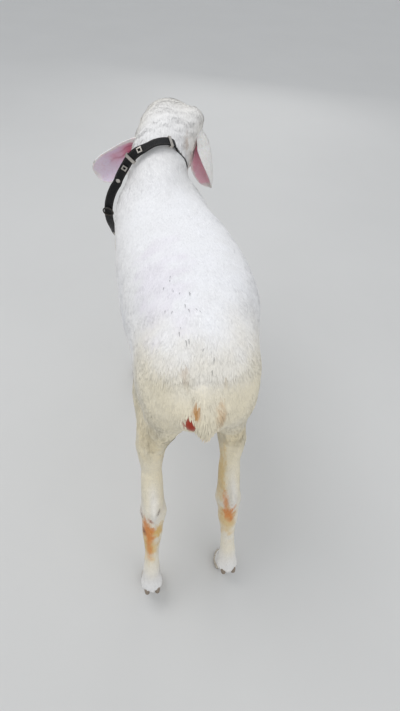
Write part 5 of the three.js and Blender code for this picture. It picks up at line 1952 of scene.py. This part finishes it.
def short_hair(group: NodeTree) -> None:
    """Short flat hair over skin, drawn out along the body, as a height and a shade.

    Args:
        group: Node group to fill.
    """
    w, given, end = sockets(group, ("Height", "Shade"), Fineness=900.0, Contrast=0.2)
    fine = w.noise(w.stretched(given["Place"], (1.0, 0.30, 0.22)), given["Fineness"], 2.0)
    tufts = w.noise(w.stretched(given["Place"], (1.0, 0.5, 0.4)), 150.0, 2.0)
    shade = w.math("MULTIPLY_ADD", w.math("SUBTRACT", fine, 0.5), given["Contrast"], 1.0)
    w.give(end, {"Height": w.math("MULTIPLY_ADD", tufts, 1.4, fine), "Shade": shade})


def wear_and_dirt(group: NodeTree) -> None:
    """Rubbed spots and settled dust, as two masks between 0 and 1.

    Args:
        group: Node group to fill.
    """
    w, given, end = sockets(group, ("Worn", "Dirty"), Size=120.0, Worn=0.5, Dirty=0.5)
    cloud = w.noise(given["Place"], given["Size"], 5.0, 0.65)
    point = w.add("NewGeometry").outputs["Pointiness"]
    edge, hollow = w.between(point, 0.51, 0.60), w.between(point, 0.50, 0.44)
    rubbed = w.times(w.math("ADD", edge, w.between(cloud, 0.56, 0.72)), given["Worn"])
    settled = w.times(w.math("ADD", hollow, w.between(cloud, 0.48, 0.34)), given["Dirty"])
    w.give(end, {"Worn": w.math("MINIMUM", rubbed, 1.0), "Dirty": w.math("MINIMUM", settled, 1.0)})


def pebbled_grain(group: NodeTree) -> None:
    """Small pebbles parted by creases, as on leather: a height and a mask of the creases.

    Args:
        group: Node group to fill.
    """
    w, given, end = sockets(group, ("Height", "Creases"), Pebbles=700.0)
    cells = w.add("TexVoronoi", feature="DISTANCE_TO_EDGE")
    cells = w.give(cells, {"Vector": given["Place"], "Scale": given["Pebbles"]})
    pebble = w.between(cells["Distance"], 0.0, 0.30)
    height = w.math("ADD", pebble, w.times(w.noise(given["Place"], 260.0, 4.0), 0.8))
    w.give(end, {"Height": height, "Creases": w.math("SUBTRACT", 1.0, pebble)})


@dataclass(frozen=True)
class Finish:
    """A material with its uniform numbers; each kind of surface adds its own nodes."""

    name: str
    roughness: float = 0.6

    def material(self) -> bpy.types.Material:
        """The material, made the first time that it is asked for.

        Returns:
            The material.
        """
        found = bpy.data.materials.get(self.name)
        if found:
            return found
        material = bpy.data.materials.new(self.name)
        material.use_nodes = True
        tree = material.node_tree
        shader = next(node for node in tree.nodes if node.type == "BSDF_PRINCIPLED")
        w = Wiring(tree)
        w.give(shader, {"Roughness": self.roughness} | self.looks(w))
        return material

    def looks(self, w: Wiring) -> dict[str, object]:
        """Adds the nodes that feed the shader.

        Args:
            w: Wiring of the material.

        Returns:
            What the shader's inputs take, by name.
        """
        raise NotImplementedError

    def dress(self, piece: Piece) -> None:
        """Gives a piece this finish."""
        piece.data.materials.clear()
        piece.data.materials.append(self.material())

    @staticmethod
    def effect(w: Wiring, effect: Effect, place: Socket, **given: object) -> Outputs:
        """The outputs of a shared effect, given a place and its numbers by name."""
        return w.give(w.add("Group", node_tree=effect.tree()), {"Place": place} | given)


@dataclass(frozen=True)
class CoatFinish(Finish):
    """White hair in locks, with the markings kept in each vertex's colour."""

    hairs: float = 9.0
    contrast: float = 0.10
    depth: float = 0.0002

    def looks(self, w: Wiring) -> dict[str, object]:
        """Adds the hairs of each lock.

        Args:
            w: Wiring of the material.

        Returns:
            What the shader's inputs take, by name.
        """
        hair = self.effect(w, Effect.HAIR, w.kept("strand"), Hairs=self.hairs, Contrast=self.contrast)
        return {
            "Base Color": w.shaded(w.painted(), hair["Shade"]),
            "Roughness": w.math("MULTIPLY_ADD", hair["Height"], -0.15, self.roughness + 0.08),
            "Normal": w.bump(hair["Height"], 0.6, self.depth),
            "Sheen Weight": 0.15,
            "Sheen Roughness": 0.6,
            "Specular IOR Level": 0.3,
        }


@dataclass(frozen=True)
class SkinFinish(Finish):
    """Skin under the locks with the finest hair on it."""

    def looks(self, w: Wiring) -> dict[str, object]:
        """Adds short hair.

        Args:
            w: Wiring of the material.

        Returns:
            What the shader's inputs take, by name.
        """
        hair = self.effect(w, Effect.HIDE, w.place(), Fineness=900.0, Contrast=0.12)
        return {
            "Base Color": w.shaded(w.painted(), hair["Shade"]),
            "Normal": w.bump(hair["Height"], 0.5, 0.0006),
            "Specular IOR Level": 0.3,
        }


@dataclass(frozen=True)
class EarFinish(Finish):
    """Thin pink ear skin with down on it and fine wrinkles."""

    flush: Colour = (0.60, 0.20, 0.24, 1.0)

    def looks(self, w: Wiring) -> dict[str, object]:
        """Adds mottling, down and wrinkles.

        Args:
            w: Wiring of the material.

        Returns:
            What the shader's inputs take, by name.
        """
        hair = self.effect(w, Effect.HIDE, w.place(), Fineness=1300.0, Contrast=0.14)
        mottle = w.noise(w.place(), 210.0, 4.0, 0.6)
        share = w.times(w.between(mottle, 0.45, 0.75), 0.18)
        flushed = w.blend(share, w.painted(), self.flush)
        wrinkles = w.math("ADD", hair["Height"], w.times(mottle, 1.5))
        return {
            "Base Color": w.shaded(flushed, hair["Shade"]),
            "Normal": w.bump(wrinkles, 0.4, 0.0005),
            "Subsurface Weight": 0.12,
            "Subsurface Radius": (0.004, 0.0015, 0.001),
            "Subsurface Scale": 1.0,
        }


@dataclass(frozen=True)
class HornFinish(Finish):
    """Pale worn horn with growth lines and dirt in them."""

    dirt: Colour = (0.20, 0.15, 0.10, 1.0)
    worn: Colour = (0.62, 0.53, 0.42, 1.0)

    def looks(self, w: Wiring) -> dict[str, object]:
        """Adds fibres, dirt and dull spots.

        Args:
            w: Wiring of the material.

        Returns:
            What the shader's inputs take, by name.
        """
        at = w.place()
        fibres = w.noise(w.stretched(at, (1.0, 1.0, 0.12)), 900.0, 3.0)
        wear = self.effect(w, Effect.WEAR, at, Size=160.0, Worn=0.3, Dirty=0.6)
        base = w.shaded(w.painted(), w.math("MULTIPLY_ADD", fibres, 0.4, 0.8))
        return {
            "Base Color": w.blend(wear["Worn"], w.blend(wear["Dirty"], base, self.dirt), self.worn),
            "Normal": w.bump(fibres, 0.4, 0.0003),
            "Roughness": w.math("MULTIPLY_ADD", wear["Dirty"], 0.3, self.roughness),
        }


@dataclass(frozen=True)
class EyeFinish(Finish):
    """Amber eye with a dark level pupil, behind a wet clear surface."""

    iris: float = 0.70
    pupil_long: float = 0.46
    pupil_high: float = 0.17
    ambers: tuple[Colour, Colour] = ((0.10, 0.045, 0.012, 1.0), (0.34, 0.17, 0.045, 1.0))
    whites: tuple[Colour, Colour] = ((0.42, 0.33, 0.27, 1.0), (0.22, 0.12, 0.09, 1.0))
    rim: Colour = (0.025, 0.014, 0.008, 1.0)
    black: Colour = (0.003, 0.003, 0.004, 1.0)

    def looks(self, w: Wiring) -> dict[str, object]:
        """Draws white, iris and pupil.

        Args:
            w: Wiring of the material.

        Returns:
            What the shader's inputs take, by name.
        """
        at = w.kept("eye_place")
        parts = w.parts(at)
        a, b = parts["X"], parts["Y"]
        reach = w.math("SQRT", w.math("ADD", w.times(a, a), w.times(b, b)))
        long, high = (
            w.math("POWER", w.math("ABSOLUTE", w.math("DIVIDE", part, size)), 3.0)
            for part, size in ((a, self.pupil_long), (b, self.pupil_high))
        )
        fibres = w.noise(w.stretched(at, (9.0, 9.0, 1.0)), 2.0, 4.0, 0.7)
        amber = w.blend(w.between(fibres, 0.35, 0.65), *self.ambers)
        rim = w.blend(w.between(reach, self.iris * 0.78, self.iris), amber, self.rim)
        pupil = w.blend(w.between(w.math("ADD", long, high), 1.5, 0.7), rim, self.black)
        white = w.blend(w.between(w.noise(at, 5.0), 0.4, 0.7), *self.whites)
        return {
            "Base Color": w.blend(w.between(reach, self.iris, self.iris + 0.05), pupil, white),
            "Normal": w.bump(fibres, 0.15, 0.0002),
            "Coat Weight": 1.0,
            "Coat Roughness": 0.02,
            "Coat IOR": 1.4,
        }


@dataclass(frozen=True)
class LeatherFinish(Finish):
    """Worn black leather: pebbled face, scuffed edges and a line of stitches near each edge."""

    black: Colour = (0.005, 0.005, 0.006, 1.0)
    scuff: Colour = (0.030, 0.028, 0.028, 1.0)
    dust: Colour = (0.035, 0.030, 0.026, 1.0)
    crease: Colour = (0.004, 0.004, 0.004, 1.0)
    thread: Colour = (0.055, 0.050, 0.045, 1.0)
    pitch: float = 0.0042
    seam: float = 0.0074

    def looks(self, w: Wiring) -> dict[str, object]:
        """Adds grain, scuffs, dust and stitches.

        Args:
            w: Wiring of the material.

        Returns:
            What the shader's inputs take, by name.
        """
        at = w.place()
        grain = self.effect(w, Effect.GRAIN, at, Pebbles=820.0)
        wear = self.effect(w, Effect.WEAR, at, Size=90.0, Worn=0.8, Dirty=0.5)
        colour = w.blend(wear["Worn"], self.black, self.scuff)
        colour = w.blend(w.times(wear["Dirty"], 0.5), colour, self.dust)
        colour = w.blend(w.times(grain["Creases"], 0.4), colour, self.crease)
        parts = w.parts(w.kept("strap_place"))
        off = w.math("ABSOLUTE", w.math("SUBTRACT", w.math("ABSOLUTE", parts["Y"]), self.seam))
        turn = w.math("FRACT", w.math("DIVIDE", parts["X"], self.pitch))
        dash = w.between(w.math("ABSOLUTE", w.math("SUBTRACT", turn, 0.5)), 0.40, 0.30)
        thread = w.times(w.between(off, 0.0008, 0.0003), dash)
        sunk = w.times(w.between(off, 0.0013, 0.0006), -1.6)
        height = w.math("ADD", w.math("ADD", grain["Height"], sunk), w.times(thread, 3.0))
        return {
            "Base Color": w.blend(thread, colour, self.thread),
            "Roughness": w.math("MULTIPLY_ADD", wear["Worn"], 0.22, self.roughness),
            "Normal": w.bump(height, 0.7, 0.0003),
            "Specular IOR Level": 0.25,
        }


@dataclass(frozen=True)
class SteelFinish(Finish):
    """Dull plated steel with scratches and tarnish in its corners."""

    bright: Colour = (0.50, 0.47, 0.43, 1.0)
    rubbed: Colour = (0.72, 0.69, 0.65, 1.0)
    tarnish: Colour = (0.21, 0.15, 0.10, 1.0)

    def looks(self, w: Wiring) -> dict[str, object]:
        """Adds scratches and tarnish.

        Args:
            w: Wiring of the material.

        Returns:
            What the shader's inputs take, by name.
        """
        at = w.place()
        wear = self.effect(w, Effect.WEAR, at, Size=260.0, Worn=0.5, Dirty=1.0)
        scratches = w.noise(w.stretched(at, (1.0, 0.08, 1.0)), 2400.0, 3.0)
        base = w.blend(w.times(wear["Dirty"], 0.7), self.bright, self.tarnish)
        return {
            "Base Color": w.blend(w.times(wear["Worn"], 0.5), base, self.rubbed),
            "Roughness": w.math("MULTIPLY_ADD", wear["Dirty"], 0.35, self.roughness),
            "Metallic": w.math("SUBTRACT", 1.0, w.times(wear["Dirty"], 0.5)),
            "Normal": w.bump(scratches, 0.25, 0.0001),
        }


@dataclass(frozen=True)
class FloorFinish(Finish):
    """Pale matt floor with the faintest mottling."""

    greys: tuple[Colour, Colour] = ((0.655, 0.65, 0.635, 1.0), (0.70, 0.695, 0.68, 1.0))

    def looks(self, w: Wiring) -> dict[str, object]:
        """Adds the mottling.

        Args:
            w: Wiring of the material.

        Returns:
            What the shader's inputs take, by name.
        """
        return {
            "Base Color": w.blend(w.noise(w.place(), 2.2, 4.0), *self.greys),
            "Normal": w.bump(w.noise(w.place(), 90.0, 3.0), 0.1, 0.001),
        }


# ---- studio


@dataclass
class Studio:
    """Pale floor, soft light and the camera."""

    aside: float = -0.0991
    behind: float = 0.3650
    height: float = 1.2
    down: float = 48.2
    tilt: float = -5.3
    heading: float = -12.0
    lens: float = 23.8
    reach: float = 60.0

    AIM = (0.0, -0.05, 0.45)
    LAMPS = (
        ("key", (-0.9, 0.3, 2.8), 1.4, 20.0),
        ("fill", (1.2, -2.2, 1.7), 1.8, 8.0),
        ("front", (0.8, 2.6, 1.2), 1.6, 5.0),
    )

    def camera(self) -> None:
        """Looks down and ahead over the rump."""
        below, lean = math.radians(self.down), math.radians(self.tilt)
        forward = np.array([0.0, math.cos(below), -math.sin(below)])
        right, under = np.array([[1.0, 0.0, 0.0], [0.0, -math.sin(below), -math.cos(below)]])
        across = right * math.cos(lean) + under * math.sin(lean)
        down = under * math.cos(lean) - right * math.sin(lean)
        axes = spin(2, math.radians(self.heading)) @ np.stack([across, -down, -forward], axis=1)
        data = bpy.data.cameras.new("camera")
        data.lens, data.sensor_width, data.clip_start = self.lens, 36.0, 0.02
        camera = link("camera", data)
        low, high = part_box("tail")
        eye = Vector(((low.x + high.x) / 2 + self.aside, low.y - self.behind, self.height))
        camera.matrix_world = Matrix.Translation(eye) @ Matrix(axes.tolist()).to_4x4()
        bpy.context.scene.camera = camera

    def floor(self) -> None:
        """Lays the floor under the hooves."""
        square = np.array([[-1.0, -1.0, 0.0], [1.0, -1.0, 0.0], [1.0, 1.0, 0.0], [-1.0, 1.0, 0.0]])
        floor = Solid(self.reach * square, np.array([[0, 1, 2, 3]])).to_object("floor", smooth=False)
        FloorFinish("floor_pale", 0.8).dress(floor)
        floor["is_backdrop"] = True

    def lights(self) -> None:
        """Hangs a broad soft key, a fill and a pale sky."""
        world = bpy.data.worlds.new("sky")
        world.use_nodes = True
        background = next(node for node in world.node_tree.nodes if node.type == "BACKGROUND")
        background.inputs["Color"].default_value = (0.93, 0.96, 1.0, 1.0)
        background.inputs["Strength"].default_value = 0.68
        bpy.context.scene.world = world
        bpy.context.scene.view_settings.view_transform = "Standard"
        for name, at, size, power in self.LAMPS:
            data = bpy.data.lights.new(name, "AREA")
            data.size, data.energy = size, power
            lamp = link(name, data)
            lamp.location = at
            aim = Vector(self.AIM) - Vector(at)
            lamp.rotation_euler = aim.to_track_quat("-Z", "Y").to_euler()

    def build(self) -> None:
        """Sets the stage."""
        self.camera()
        self.floor()
        self.lights()


# ---- the sheep


def corners(box: tuple[Vector, Vector]) -> list[list[float]]:
    """A box as plain lists."""
    return [list(corner) for corner in box]


def main() -> dict[str, list[list[float]]]:
    """Builds and dresses every piece.

    Returns:
        The CAD box, before the looks.
    """
    logging.basicConfig(level=logging.INFO, format="%(message)s")
    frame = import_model()
    sizes = {"cad": corners(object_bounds())}
    nodes = frame["nodes"]
    marks = Landmarks.from_frame()
    Studio().build()

    markings = Markings(marks)
    skin = Skin(marks, markings, nodes)
    skin.build()
    place(skin.piece, SkinFinish("skin_under_hair", 0.65), "coat", *skin.flesh())

    hair = CoatFinish("white_locks", 0.6)
    strap = Strap(nodes["collar_strap"])
    coat = BodyCoat(marks, markings, Coat(), strap.stations())
    for piece in coat.build(skin, skin.region_shares(30, 0.7)):
        place(piece, hair, "coat")

    for side in Side:
        ear, down = Ear(marks, side, Coat(seed=29, root_shade=0.97)).build()
        place(ear, EarFinish("ear_pink", 0.55), "ear_skin", f"ear_{side.label}")
        place(down, hair, "coat")
        eye = Eye(marks, side).build()
        place(eye, EyeFinish("wet_eye", 0.25), "eye", f"eye_{side.label}")

    horn = HornFinish("hoof_horn", 0.45)
    for name in sorted(nodes):
        if "claw" in name:
            place(Hoof(name, nodes[name]).build(), horn, "hoof", name)

    place(strap.build(), LeatherFinish("strap_black", 0.42), "strap_leather", "collar_strap")
    steel = SteelFinish("fitting_steel", 0.38)
    dark = SteelFinish("ring_blackened_steel", 0.45, (0.06, 0.058, 0.055, 1.0), (0.20, 0.19, 0.18, 1.0))
    for name in sorted(nodes):
        if name.startswith("collar_") and name != "collar_strap":
            finish = dark if name == "collar_ring" else steel
            place(Fitting(name, nodes[name]).build(), finish, "collar_metal", name)
    return sizes


if __name__ == "__main__":
    SIZES = main()
    SIZES["visual"] = corners(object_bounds())
